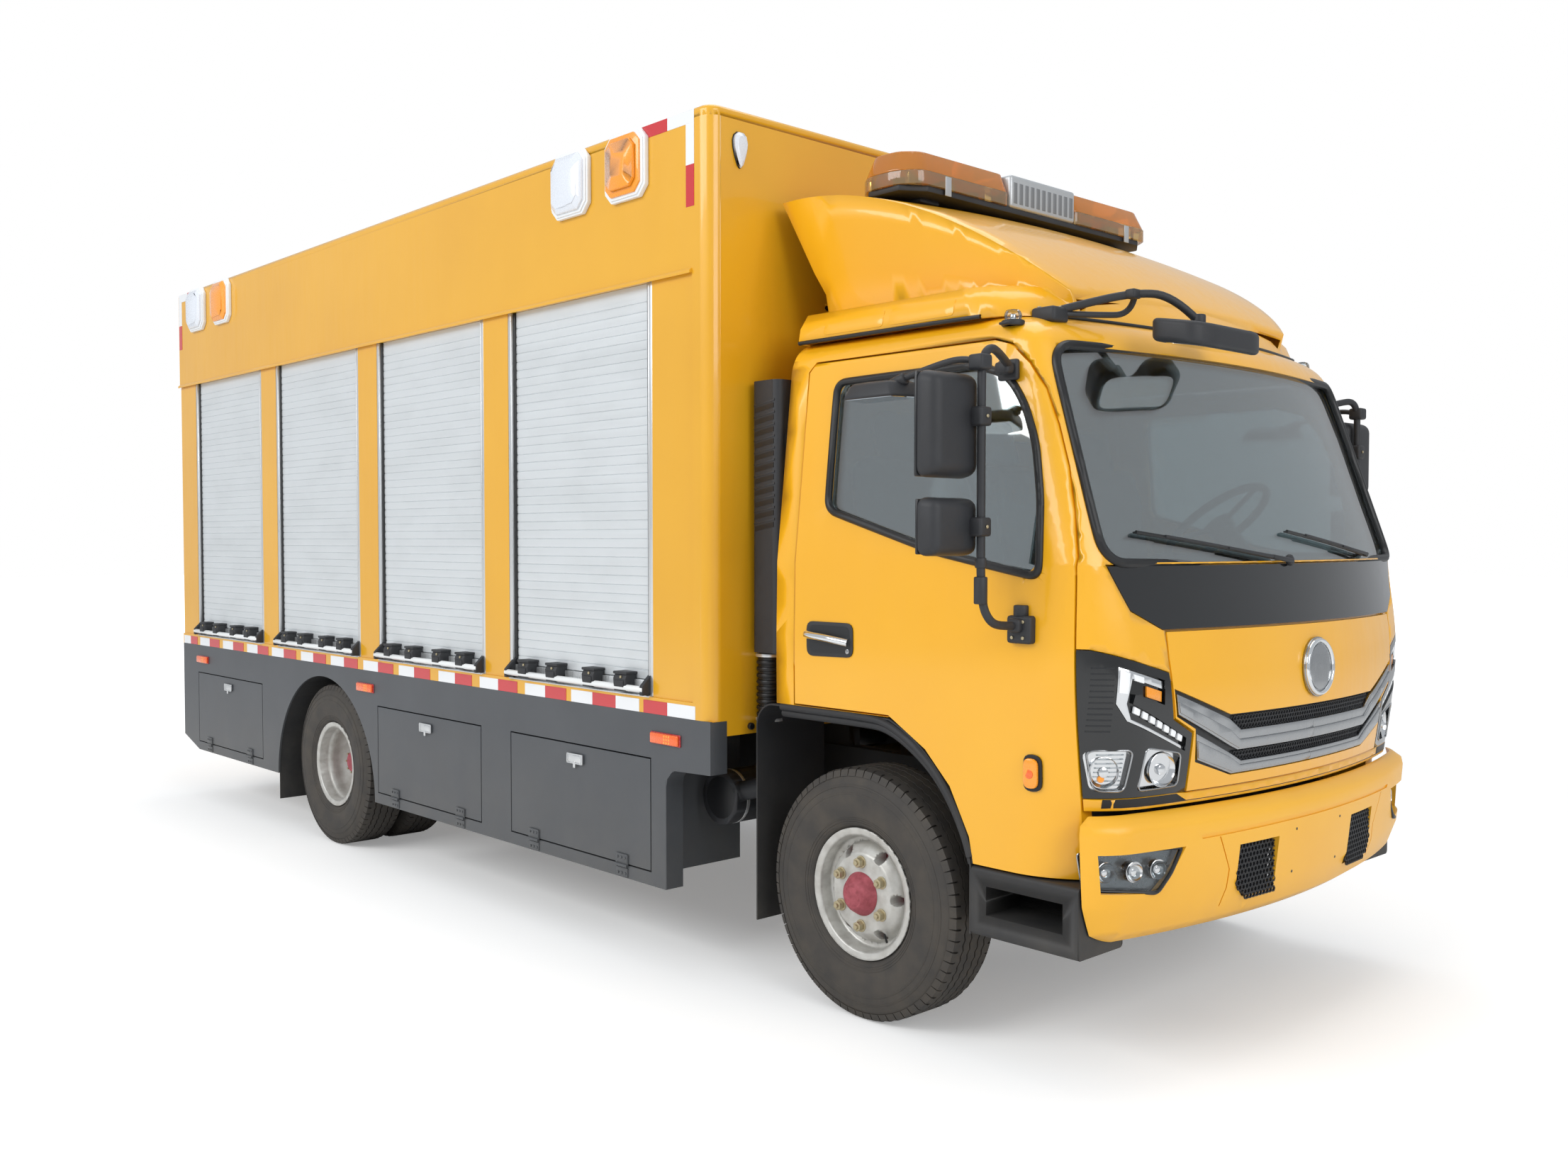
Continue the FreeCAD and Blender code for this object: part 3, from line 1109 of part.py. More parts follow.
def roof_pieces():
    cab_outer = cab_solid()
    rear = size["cab_rear"]
    band = stacked([(2326, 3085, 938, 210, rear + 12), (2380, 3062, 930, 210, rear + 14),
                    (2432, 3010, 900, 200, rear + 22)], ruled=True)
    wing = fairing_wing()
    tail_cut = prism([(1700, 2300), (rear + 12, 2300), (rear + 12, 2520), (1968, 2600), (1852, 2870),
                      (1700, 2900)],
                     "y", -1200, 1200)
    hollow = fairing_wing(size["fairing_skin"])
    outer = band.fuse(wing.cut(tail_cut)).removeSplitter()
    inner_band = stacked([(2300, 3085 - 25, 938 - 25, 200, rear + 37),
                          (2407, 3010 - 10, 905 - 25, 190, rear + 37)],
                         ruled=True)
    cut_room = hollow.cut(box_between((1700, -1200, 2300), (rear + 60, 1200, 2450)))
    whole = outer.cut(inner_band).cut(cut_room).cut(cab_solid(-size["fit_gap"]))
    solids = sorted(whole.Solids, key=lambda part: part.Volume)
    node(feature("fairing", solids[-1]), "roof_fairing")

    low, high, half, deep = size["bar_low"], size["bar_high"], size["bar_half"], size["bar_deep"] / 2
    middle = size["bar_x"]
    section = prism([(middle - deep, low + 42), (middle - deep + 38, low), (middle + deep - 38, low),
                     (middle + deep, low + 42), (middle + deep - 12, low + 62), (middle + 55, high),
                     (middle - 55, high), (middle - deep + 12, low + 62)], "y", -half, half)
    plan = prism([(middle - deep, half - 110), (middle - 60, half), (middle + 60, half),
                  (middle + deep, half - 110),
                  (middle + deep, -half + 110), (middle + 60, -half), (middle - 60, -half),
                  (middle - deep, -half + 110)], "z", low - 10, high + 10)
    crown = outer.copy()
    crown.translate(Vector(0, 0, size["fit_gap"]))
    bar = section.common(plan).cut(crown)
    feet = [box_between((middle - 60, side * 560 - 55, 2780),
                        (middle + 60, side * 560 + 55, low + 4)).cut(outer)
            for side in (LEFT, RIGHT)]
    feet = [max(foot.Solids, key=lambda part: part.BoundBox.ZMax) for foot in feet]
    node(feature("bar_lamp", bar.multiFuse(feet).removeSplitter()), "light_bar")

    housing = box_between((3245, -640, 2215), (3435, -215, 2320))
    housing = housing.makeFillet(48, housing.Edges)
    foot = box_between((2960, -850, 2240), (3060, -760, 2352)).cut(cab_outer).cut(outer)
    foot = max(foot.Solids, key=lambda part: part.BoundBox.ZMax)
    arm = bent_bar([(3010, -805, 2335), (3200, -640, 2395), (3330, -470, 2300)], 13)
    brace = bent_bar([(3030, -800, 2330), (3160, -560, 2330), (3205, -636, 2390)], 10)
    arm = arm.fuse(brace).cut(cab_outer)
    arm = max(arm.Solids, key=lambda part: part.Volume)
    node(feature("look_down_mirror", housing.multiFuse([foot, arm]).removeSplitter()), "front_mirror")


def side_mirror():
    outer = cab_solid()
    tube_x, tube_y = 3066, 1205
    upper = (3000, 962, 2150)
    path = bent_bar([(3085, 1015, 1372), (3085, 1110, 1372), (tube_x, tube_y, 1440), (tube_x, tube_y, 2150),
                     (tube_x - 2, tube_y - 50, 2190), upper], 13)
    lower_foot = box_between((3045, 1000, 1315), (3135, 1062, 1435))
    upper_foot = box_between((2950, 930, 2110), (3028, 992, 2178))
    big = rounded(box_between((2965, 1172, 1800), (3050, 1395, 2120)), "x", 34)
    small = rounded(box_between((2968, 1172, 1576), (3050, 1395, 1754)), "x", 34)
    clamps = [box_between((3040, 1185, z), (3084, 1226, z + 62)) for z in (1935, 1640)]
    kerb = box_between((2560, 1160, 2055), (2830, 1320, 2120))
    kerb = rounded(kerb, "z", 60)
    kerb_arm = bent_bar([(tube_x, tube_y, 2140), (2980, 1215, 2158), (2760, 1240, 2100)], 10)
    whole = path.multiFuse([lower_foot, upper_foot, big, small, kerb, kerb_arm] + clamps).cut(outer)
    whole = max(whole.Solids, key=lambda part: part.Volume).removeSplitter()
    left = node(feature("mirror", whole), "mirror_left")
    other_side(left, "mirror_right")


def air_intake():
    rear = size["cab_rear"]
    tower = rounded(box_between((rear - 182, -995, 1215), (rear - 36, -868, 2205)), "z", 30)
    neck = box_between((rear - 60, -960, 1950), (rear, -900, 2010))
    foot = box_between((rear - 60, -960, 1350), (rear, -900, 1410))
    pipe = bent_bar([(1845, -925, 1240), (1845, -925, 715), (1620, -925, 655)], 37)
    can = bar_between((1620, -976, 645), (1620, -600, 645), 103)
    strap = box_between((1590, -640, 700), (1650, -600, size["box_base"]))
    whole = tower.multiFuse([neck, foot, pipe, can, strap]).removeSplitter()
    node(feature("intake", whole), "air_intake")


# ---------------------------------------------------------------- building and writing

def build():
    chassis_frame()
    running_gear()
    steering_knuckle()
    wheels()
    drive_line()
    box_panels()
    roller_shutters()
    rear_door()
    skirts()
    rear_fittings()
    mudguards()
    cab()
    cab_inside()
    front_bumper()
    roof_pieces()
    side_mirror()
    air_intake()


def check_and_write():
    doc.recompute()
    for thing in doc.Objects:
        assert not {"Invalid", "Error"} & set(thing.State), f"{thing.Label}: {thing.State}"
    os.makedirs("parts", exist_ok=True)
    for piece in nodes:
        shape = piece.Shape
        assert not shape.isNull() and shape.isValid(), f"{piece.Label}: the shape is not valid"
        assert shape.Solids, f"{piece.Label}: no solid"
    for piece in nodes:
        piece.Shape.exportStep(f"parts/{piece.Label}.step")


build()
check_and_write()
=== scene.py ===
import json
import math

import bpy
from mathutils import Matrix, Vector

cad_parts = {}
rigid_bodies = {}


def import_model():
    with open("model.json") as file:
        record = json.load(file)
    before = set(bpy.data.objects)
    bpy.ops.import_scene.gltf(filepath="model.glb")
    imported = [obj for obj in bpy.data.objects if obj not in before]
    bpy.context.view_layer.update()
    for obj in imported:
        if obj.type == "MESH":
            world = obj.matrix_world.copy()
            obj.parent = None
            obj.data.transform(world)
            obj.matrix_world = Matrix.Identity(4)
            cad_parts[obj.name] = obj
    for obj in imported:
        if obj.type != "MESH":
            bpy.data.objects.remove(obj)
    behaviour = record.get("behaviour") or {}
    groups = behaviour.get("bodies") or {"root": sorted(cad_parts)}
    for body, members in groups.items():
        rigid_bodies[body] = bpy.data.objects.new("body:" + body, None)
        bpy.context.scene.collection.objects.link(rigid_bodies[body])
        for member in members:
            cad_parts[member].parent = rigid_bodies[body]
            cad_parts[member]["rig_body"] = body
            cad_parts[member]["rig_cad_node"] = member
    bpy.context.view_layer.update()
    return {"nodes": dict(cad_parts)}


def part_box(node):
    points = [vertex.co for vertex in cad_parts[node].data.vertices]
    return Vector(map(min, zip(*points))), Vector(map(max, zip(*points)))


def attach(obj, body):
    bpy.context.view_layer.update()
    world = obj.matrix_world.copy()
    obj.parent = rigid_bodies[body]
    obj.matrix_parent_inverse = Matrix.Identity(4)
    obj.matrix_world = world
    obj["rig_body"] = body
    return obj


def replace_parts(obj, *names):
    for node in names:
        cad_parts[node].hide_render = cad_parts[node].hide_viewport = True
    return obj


# A rescue truck. Metres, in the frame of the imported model: +X forward, +Y to the truck's
# left, +Z up, with the origin on the ground under its middle.

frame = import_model()
BODY_OF = {node: ob["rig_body"] for node, ob in frame["nodes"].items()}
ROOT = "truck"
SIDES = (("left", 1), ("right", -1))


# ---------------------------------------------------------------- materials

def hex_colour(text, alpha=1.0):
    """sRGB hex to linear."""
    parts = [int(text[i:i + 2], 16) / 255 for i in (1, 3, 5)]
    return (*[c / 12.92 if c <= 0.04045 else ((c + 0.055) / 1.055) ** 2.4 for c in parts], alpha)


def add_node(tree, kind, settings=None, links=None):
    """Adds a node; settings are its own values or its sockets' values, links feed its sockets."""
    new = tree.nodes.new(kind)
    for key, value in (settings or {}).items():
        if isinstance(key, int) or key in new.inputs:
            new.inputs[key].default_value = value
        else:
            setattr(new, key, value)
    for key, source in (links or {}).items():
        tree.links.new(source, new.inputs[key])
    return new


def new_material(name, colour, rough, metal=0.0, **sockets):
    """A material with a Principled shader; returns the material, its tree and its shader."""
    mat = bpy.data.materials.new(name)
    mat.use_nodes = True
    tree = mat.node_tree
    shader = tree.nodes["Principled BSDF"]
    shader.inputs["Base Color"].default_value = hex_colour(colour)
    shader.inputs["Roughness"].default_value = rough
    shader.inputs["Metallic"].default_value = metal
    for socket, value in sockets.items():
        shader.inputs[socket.replace("_", " ")].default_value = value
    return mat, tree, shader


def place(tree):
    return add_node(tree, "ShaderNodeTexCoord").outputs["Object"]


def noise(tree, size_m, detail=3.0, rough=0.55, stretch=None):
    """Noise whose lumps are about size_m across, on the piece's own coordinates."""
    where = place(tree)
    if stretch:
        where = add_node(tree, "ShaderNodeMapping", {"Scale": stretch}, {"Vector": where}).outputs[0]
    return add_node(tree, "ShaderNodeTexNoise", {"Scale": 1 / size_m, "Detail": detail, "Roughness": rough},
                    {"Vector": where}).outputs["Fac"]


def ramp(tree, source, low, high, to_low=0.0, to_high=1.0):
    return add_node(tree, "ShaderNodeMapRange", {"From Min": low, "From Max": high, "To Min": to_low,
                                                 "To Max": to_high}, {"Value": source}).outputs[0]


def blend(tree, shader, socket, share, other):
    """Mixes another colour into the shader's own colour by the share."""
    base = shader.inputs[socket]
    mix = add_node(tree, "ShaderNodeMix", {"data_type": "RGBA"}, {0: share})
    mix.inputs[6].default_value = base.default_value
    if base.is_linked:
        tree.links.new(base.links[0].from_socket, mix.inputs[6])
    mix.inputs[7].default_value = hex_colour(other)
    tree.links.new(mix.outputs[2], base)


def bump(tree, shader, height, strength, distance):
    node = add_node(tree, "ShaderNodeBump", {"Strength": strength, "Distance": distance}, {"Height": height})
    tree.links.new(node.outputs[0], shader.inputs["Normal"])


def road_dust(tree, shader, top_z, colour, most=0.5):
    """Dust thrown up by the wheels, thicker towards the ground."""
    height = add_node(tree, "ShaderNodeSeparateXYZ", {}, {0: place(tree)}).outputs["Z"]
    fade = ramp(tree, height, 0.15, top_z, most, 0.0)
    patch = ramp(tree, noise(tree, 0.18, 5), 0.35, 0.7, 0.35, 1.0)
    share = add_node(tree, "ShaderNodeMath", {"operation": "MULTIPLY"}, {0: fade, 1: patch}).outputs[0]
    blend(tree, shader, "Base Color", share, colour)


def body_paint(name, colour, shade, orange_peel=0.15):
    """Two-pack enamel sprayed on sheet steel: a clear gloss over a flat colour, with faint
    orange peel, and a slightly deeper tone where the coat is thicker."""
    mat, tree, shader = new_material(name, colour, 0.34, Coat_Weight=0.6, Coat_Roughness=0.07, IOR=1.5)
    blend(tree, shader, "Base Color", ramp(tree, noise(tree, 0.7, 3), 0.35, 0.7, 0.0, 0.5), shade)
    streak = noise(tree, 0.035, 4, 0.6, (1, 1, 0.12))
    tree.links.new(ramp(tree, streak, 0.3, 0.8, 0.28, 0.42), shader.inputs["Roughness"])
    bump(tree, shader, noise(tree, 0.012, 2), orange_peel, 0.0006)
    return mat


def make_materials():
    made = {}
    # Cab enamel: warm yellow, baked and glossy, so it mirrors what is around it.
    made["cab_enamel"] = body_paint("cab_enamel", "#F0B014", "#EAA60C")
    # Box enamel: the same family, a little duller because the sheet is painted by hand gun.
    made["box_enamel"] = body_paint("box_enamel", "#E3A81C", "#D79B12", 0.25)
    # Bumper: moulded plastic painted the cab's colour, with a softer gloss.
    mat, tree, shader = new_material("painted_bumper_plastic", "#F2B42A", 0.42, Coat_Weight=0.25, Coat_Roughness=0.25)
    blend(tree, shader, "Base Color", ramp(tree, noise(tree, 0.5, 4), 0.4, 0.75, 0.0, 0.5), "#EAA81E")
    bump(tree, shader, noise(tree, 0.006, 2), 0.15, 0.0005)
    made["bumper"] = mat
    # Skirt enamel: charcoal chassis paint, satin, with road dust on its lower part.
    mat, tree, shader = new_material("charcoal_skirt_enamel", "#45484C", 0.45, Coat_Weight=0.15, Coat_Roughness=0.3)
    blend(tree, shader, "Base Color", ramp(tree, noise(tree, 0.3, 5), 0.4, 0.75, 0.0, 0.6), "#4D5054")
    bump(tree, shader, noise(tree, 0.02, 3), 0.2, 0.0008)
    road_dust(tree, shader, 0.8, "#6A665E", 0.35)
    made["skirt"] = mat
    # Frame: black chassis paint, thin and matt, greyed by dust.
    mat, tree, shader = new_material("black_chassis_paint", "#17181A", 0.6)
    road_dust(tree, shader, 1.0, "#4B463F", 0.5)
    bump(tree, shader, noise(tree, 0.03, 5), 0.3, 0.0015)
    made["frame"] = mat
    # Cast iron of the engine and axles: dark, rough from the sand mould, with oily patches.
    mat, tree, shader = new_material("sand_cast_iron", "#2A2A2B", 0.65, 0.4)
    tree.links.new(ramp(tree, noise(tree, 0.15, 4), 0.35, 0.7, 0.4, 0.8), shader.inputs["Roughness"])
    bump(tree, shader, noise(tree, 0.006, 5), 0.6, 0.001)
    made["iron"] = mat
    # Slats: roll-formed anodised aluminium, satin with a fine grain along each slat.
    mat, tree, shader = new_material("anodised_slat_aluminium", "#DCE0E2", 0.38, 0.45)
    grain = noise(tree, 0.02, 4, 0.6, (0.04, 1, 6))
    tree.links.new(ramp(tree, grain, 0.3, 0.75, 0.3, 0.5), shader.inputs["Roughness"])
    blend(tree, shader, "Base Color", ramp(tree, noise(tree, 0.35, 4, 0.5, (1, 1, 2.5)), 0.45, 0.75, 0.0, 0.35), "#C9CDCE")
    made["slat"] = mat
    # Guides and trims: extruded aluminium, brighter than the slats.
    mat, tree, shader = new_material("extruded_aluminium", "#D9DBDC", 0.3, 0.8)
    tree.links.new(ramp(tree, noise(tree, 0.01, 4, 0.6, (1, 1, 0.05)), 0.3, 0.75, 0.24, 0.42), shader.inputs["Roughness"])
    made["aluminium"] = mat
    # Dull sheet aluminium of the tank and radiator.
    mat, tree, shader = new_material("mill_finish_aluminium", "#8E9092", 0.5, 0.85)
    road_dust(tree, shader, 1.0, "#5A554C", 0.55)
    bump(tree, shader, noise(tree, 0.02, 4), 0.2, 0.001)
    made["dull_aluminium"] = mat
    # Lift bar: plastic-coated tube, white and smooth.
    made["bar_white"] = new_material("white_powder_coat", "#E6E8E8", 0.3, Coat_Weight=0.3)[0]
    # Chrome: plated plastic, a clear mirror.
    made["chrome"] = new_material("chrome_plate", "#E3E6E8", 0.07, 1.0)[0]
    # Brushed chrome of the grille bars, satin on their wide faces.
    mat, tree, shader = new_material("satin_chrome", "#A6A8AA", 0.26, 1.0)
    tree.links.new(ramp(tree, noise(tree, 0.03, 4), 0.3, 0.75, 0.16, 0.34), shader.inputs["Roughness"])
    made["satin_chrome"] = mat
    # Mirror glass: silvered behind.
    made["mirror"] = new_material("silvered_glass", "#DDE3E6", 0.02, 1.0)[0]
    # Polypropylene trim: moulded black with a fine leather grain of about 1 mm, drawn at 3 mm to show.
    mat, tree, shader = new_material("grained_polypropylene", "#26272A", 0.55)
    bump(tree, shader, add_node(tree, "ShaderNodeTexVoronoi", {"Scale": 330.0}, {"Vector": place(tree)}).outputs[0],
         0.25, 0.0006)
    blend(tree, shader, "Base Color", ramp(tree, noise(tree, 0.12, 5), 0.45, 0.75, 0.0, 0.6), "#303236")
    made["plastic"] = mat
    # Wheel-arch and step plastic: the same resin, dusty and scuffed.
    mat, tree, shader = new_material("scuffed_polypropylene", "#222326", 0.6)
    bump(tree, shader, noise(tree, 0.004, 4), 0.3, 0.0008)
    road_dust(tree, shader, 1.1, "#5C5850", 0.45)
    made["arch_plastic"] = mat
    # Mud flap rubber: coarse pebbled face about 6 mm a grain.
    mat, tree, shader = new_material("pebbled_flap_rubber", "#1E1F20", 0.8)
    grain = add_node(tree, "ShaderNodeTexVoronoi", {"Scale": 170.0}, {"Vector": place(tree)}).outputs[0]
    bump(tree, shader, grain, 0.9, 0.003)
    blend(tree, shader, "Base Color", ramp(tree, noise(tree, 0.015, 3), 0.5, 0.75, 0.0, 0.8), "#55524C")
    made["flap"] = mat
    # Seals: extruded black rubber, slightly shiny.
    made["seal"] = new_material("extruded_rubber", "#111214", 0.42)[0]
    # Gloss black acrylic of the cowl.
    made["gloss_black"] = new_material("gloss_black_acrylic", "#101214", 0.12, Coat_Weight=0.5, Coat_Roughness=0.04)[0]
    # Dark moulding inside the lamps.
    made["lamp_black"] = new_material("smoked_lamp_moulding", "#1B1D20", 0.35)[0]
    # Tyre: vulcanised rubber, brownish grey with dust in the sidewall, darker on the tread.
    mat, tree, shader = new_material("vulcanised_tyre_rubber", "#3A3734", 0.72)
    blend(tree, shader, "Base Color", ramp(tree, noise(tree, 0.09, 6), 0.35, 0.7, 0.0, 0.75), "#4C463E")
    bump(tree, shader, noise(tree, 0.003, 3), 0.25, 0.0006)
    made["tyre"] = mat
    # Wheel enamel: silver aluminium paint, greyed by brake dust.
    mat, tree, shader = new_material("silver_wheel_enamel", "#C6C5C0", 0.38, 0.35)
    blend(tree, shader, "Base Color", ramp(tree, noise(tree, 0.05, 6), 0.4, 0.75, 0.0, 0.7), "#9C9890")
    bump(tree, shader, noise(tree, 0.01, 3), 0.15, 0.0006)
    made["wheel"] = mat
    # Zinc-plated wheel nuts, yellowed.
    made["zinc"] = new_material("yellow_zinc_plate", "#B5A98A", 0.4, 0.7)[0]
    # Hub primer: brick red, matt and faded.
    mat, tree, shader = new_material("red_hub_primer", "#A8505A", 0.6)
    blend(tree, shader, "Base Color", ramp(tree, noise(tree, 0.02, 5), 0.35, 0.7, 0.0, 0.8), "#7E3038")
    made["hub_red"] = mat
    # Window glass: lightly tinted float glass; light goes straight through its thin sheet.
    made["glass"] = clear_material("tinted_float_glass", "#DCE8EA", 0.96, 0.02, 0.0, 0.17)
    # Lamp covers: clear polycarbonate.
    made["clear_cover"] = clear_material("clear_polycarbonate", "#EEF1F2", 0.86, 0.04)
    made["smoked_cover"] = clear_material("smoked_polycarbonate", "#6E7476", 0.55, 0.06)
    # Amber dome of the light bar.
    made["amber_cover"] = clear_material("amber_polycarbonate", "#FFB24A", 0.98, 0.08, 0.62)
    # Coloured lenses with moulded prisms: mostly closed, so they read as solid colour.
    made["amber_lens"] = lens_material("amber_acrylic_lens", "#F59A22")
    made["clear_lens"] = lens_material("clear_acrylic_lens", "#DDE2EA")
    made["red_lens"] = lens_material("red_acrylic_lens", "#B3161B")
    made["orange_lens"] = lens_material("orange_acrylic_lens", "#F2661A")
    made["pale_amber_cover"] = clear_material("pale_amber_polycarbonate", "#FFE6B0", 1.0, 0.08, 0.30)
    # Silver paint over moulded plastic, satin.
    mat, tree, shader = new_material("silver_moulded_plastic", "#B9BDC0", 0.35, 0.5)
    tree.links.new(ramp(tree, noise(tree, 0.02, 3), 0.3, 0.75, 0.3, 0.42), shader.inputs["Roughness"])
    made["satin_silver"] = mat
    made["white_base"] = new_material("white_abs", "#E9ECEE", 0.35)[0]
    # Micro-prismatic tape: plastic film with a faint diamond cell of 5 mm.
    for key, colour in (("tape_red", "#C5262D"), ("tape_white", "#E8EAEC")):
        mat, tree, shader = new_material(f"prismatic_film_{key[5:]}", colour, 0.25, Coat_Weight=0.6)
        cell = add_node(tree, "ShaderNodeTexVoronoi", {"Scale": 200.0}, {"Vector": place(tree)}).outputs[0]
        bump(tree, shader, cell, 0.15, 0.0004)
        made[key] = mat
    # Reflector bowls behind the lenses: vacuum-metallised plastic.
    made["reflector"] = new_material("metallised_reflector", "#D8DADC", 0.14, 1.0)[0]
    # Day-running strip: frosted white light guide.
    made["light_guide"] = new_material("frosted_light_guide", "#F4F6F8", 0.2, Coat_Weight=0.8)[0]
    # Dashboard and cab trim: soft-touch grey plastic.
    mat, tree, shader = new_material("soft_touch_dash_plastic", "#4A4B4C", 0.6)
    bump(tree, shader, add_node(tree, "ShaderNodeTexVoronoi", {"Scale": 260.0}, {"Vector": place(tree)}).outputs[0],
         0.3, 0.0006)
    made["dash"] = mat
    made["trim_grey"] = new_material("moulded_grey_trim", "#6F706E", 0.7)[0]
    # Seat cloth: grey woven polyester of 2 mm ribs, drawn at 6 mm so they show.
    mat, tree, shader = new_material("woven_seat_polyester", "#3D3F44", 0.85, Sheen_Weight=0.3)
    ribs = add_node(tree, "ShaderNodeTexWave", {"Scale": 26.0, "Distortion": 0.4, "bands_direction": "Y"},
                    {"Vector": place(tree)}).outputs["Fac"]
    bump(tree, shader, ribs, 0.4, 0.001)
    blend(tree, shader, "Base Color", ramp(tree, ribs, 0.3, 0.8, 0.0, 0.5), "#5A5D62")
    made["cloth"] = mat
    # Polythene dust cover over the seats: thin clear film in creases.
    mat = clear_material("creased_polythene", "#E9EEEE", 0.75, 0.12)
    tree = mat.node_tree
    creases = noise(tree, 0.05, 4, 0.7, (1, 1, 0.3))
    for node in [n for n in tree.nodes if n.type == "BSDF_GLOSSY"]:
        bump_node = add_node(tree, "ShaderNodeBump", {"Strength": 1.0, "Distance": 0.03}, {"Height": creases})
        tree.links.new(bump_node.outputs[0], node.inputs["Normal"])
    made["polythene"] = mat
    return made


def clear_material(name, tint, through, rough, cloudy=0.0, mirrored=0.02):
    """A thin clear sheet: tinted straight-through light, with a gloss that grows at grazing angles; cloudy is the
    share of light that the moulding scatters, mirrored the least share that it reflects."""
    mat = bpy.data.materials.new(name)
    mat.use_nodes = True
    tree = mat.node_tree
    tree.nodes.clear()
    tone = [c * through ** 0.5 for c in hex_colour(tint)[:3]] + [1.0]
    inside = add_node(tree, "ShaderNodeBsdfTransparent", {"Color": tone})
    gloss = add_node(tree, "ShaderNodeBsdfGlossy", {"Color": (1, 1, 1, 1), "Roughness": rough})
    edge = add_node(tree, "ShaderNodeFresnel", {"IOR": 1.5})
    share = ramp(tree, edge.outputs[0], 0.0, 1.0, mirrored, 0.9)
    sheet = inside.outputs[0]
    if cloudy:
        milky = add_node(tree, "ShaderNodeBsdfTranslucent", {"Color": hex_colour(tint)})
        body = add_node(tree, "ShaderNodeBsdfDiffuse", {"Color": hex_colour(tint)})
        haze = add_node(tree, "ShaderNodeMixShader", {0: 0.5}, {1: milky.outputs[0], 2: body.outputs[0]})
        sheet = add_node(tree, "ShaderNodeMixShader", {0: cloudy}, {1: sheet, 2: haze.outputs[0]}).outputs[0]
    mix = add_node(tree, "ShaderNodeMixShader", {}, {0: share, 1: sheet, 2: gloss.outputs[0]})
    add_node(tree, "ShaderNodeOutputMaterial", {}, {"Surface": mix.outputs[0]})
    return mat


def lens_material(name, colour):
    """A moulded lens: gloss outside, with prisms of about 6 mm behind."""
    mat, tree, shader = new_material(name, colour, 0.12, Coat_Weight=0.7, Coat_Roughness=0.03)
    cells = add_node(tree, "ShaderNodeTexVoronoi", {"Scale": 160.0}, {"Vector": place(tree)}).outputs[0]
    bump(tree, shader, cells, 0.35, 0.001)
    tree.links.new(ramp(tree, cells, 0.0, 0.6, 0.06, 0.3), shader.inputs["Roughness"])
    return mat


MAT = make_materials()


# ---------------------------------------------------------------- modelling helpers

def only(ob):
    bpy.ops.object.select_all(action="DESELECT")
    ob.select_set(True)
    bpy.context.view_layer.objects.active = ob
    return ob


def settle(ob):
    """Puts the object's place into its mesh."""
    only(ob)
    bpy.ops.object.transform_apply(location=True, rotation=True, scale=True)
    return ob


def apply_modifier(ob, kind, **settings):
    only(ob)
    mod = ob.modifiers.new(kind.title(), kind)
    for key, value in settings.items():
        setattr(mod, key, value)
    bpy.ops.object.modifier_apply(modifier=mod.name)
    return ob


def soften(ob, width, steps=2, angle=30):
    return apply_modifier(ob, "BEVEL", width=width, segments=steps, limit_method="ANGLE",
                          angle_limit=math.radians(angle))


def recalculate(ob):
    only(ob)
    bpy.ops.object.mode_set(mode="EDIT")
    bpy.ops.mesh.select_all(action="SELECT")
    bpy.ops.mesh.remove_doubles(threshold=0.00001)
    bpy.ops.mesh.normals_make_consistent(inside=False)
    bpy.ops.object.mode_set(mode="OBJECT")
    return ob


def dress(ob, name, material, body=ROOT, angle=30):
    """Names a finished piece, gives it its material and fixes it to its body."""
    settle(ob)
    ob.name = ob.data.name = name
    ob.data.materials.clear()
    ob.data.materials.append(MAT[material])
    if angle:
        bpy.ops.object.shade_smooth_by_angle(angle=math.radians(angle))
    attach(ob, body)
    return ob


def join_up(pieces):
    """Several rough pieces made one object."""
    bpy.ops.object.select_all(action="DESELECT")
    for piece in pieces:
        piece.select_set(True)
    bpy.context.view_layer.objects.active = pieces[0]
    bpy.ops.object.join()
    return pieces[0]


def brick(low, high, soft=0.003, steps=2):
    """A box between two corners with softened edges."""
    low, high = Vector(low), Vector(high)
    bpy.ops.object.select_all(action="DESELECT")
    bpy.ops.mesh.primitive_cube_add(size=1, location=(low + high) / 2, scale=high - low)
    ob = settle(bpy.context.active_object)
    return soften(ob, soft, steps) if soft else ob


def bar(start, end, radius, soft=0.0, sides=24, far_radius=None):
    """A round bar or cone from start to end."""
    start, end = Vector(start), Vector(end)
    bpy.ops.object.select_all(action="DESELECT")
    bpy.ops.mesh.primitive_cone_add(vertices=sides, radius1=radius, depth=(end - start).length,
                                    radius2=radius if far_radius is None else far_radius,
                                    location=(start + end) / 2,
                                    rotation=(end - start).to_track_quat("Z", "Y").to_euler())
    ob = settle(bpy.context.active_object)
    return soften(ob, soft, 2) if soft else ob


def outline(points, push, soft=0.0, steps=2):
    """A flat outline of points in space, pushed along a vector into a solid."""
    bpy.ops.object.select_all(action="DESELECT")
    bpy.ops.mesh.primitive_circle_add(vertices=len(points), fill_type="NGON")
    ob = bpy.context.active_object
    for vertex, spot in zip(ob.data.vertices, points):
        vertex.co = Vector(spot)
    bpy.ops.object.mode_set(mode="EDIT")
    bpy.ops.mesh.select_all(action="SELECT")
    bpy.ops.mesh.extrude_region_move(TRANSFORM_OT_translate={"value": Vector(push)})
    bpy.ops.object.mode_set(mode="OBJECT")
    recalculate(ob)
    return soften(ob, soft, steps) if soft else ob


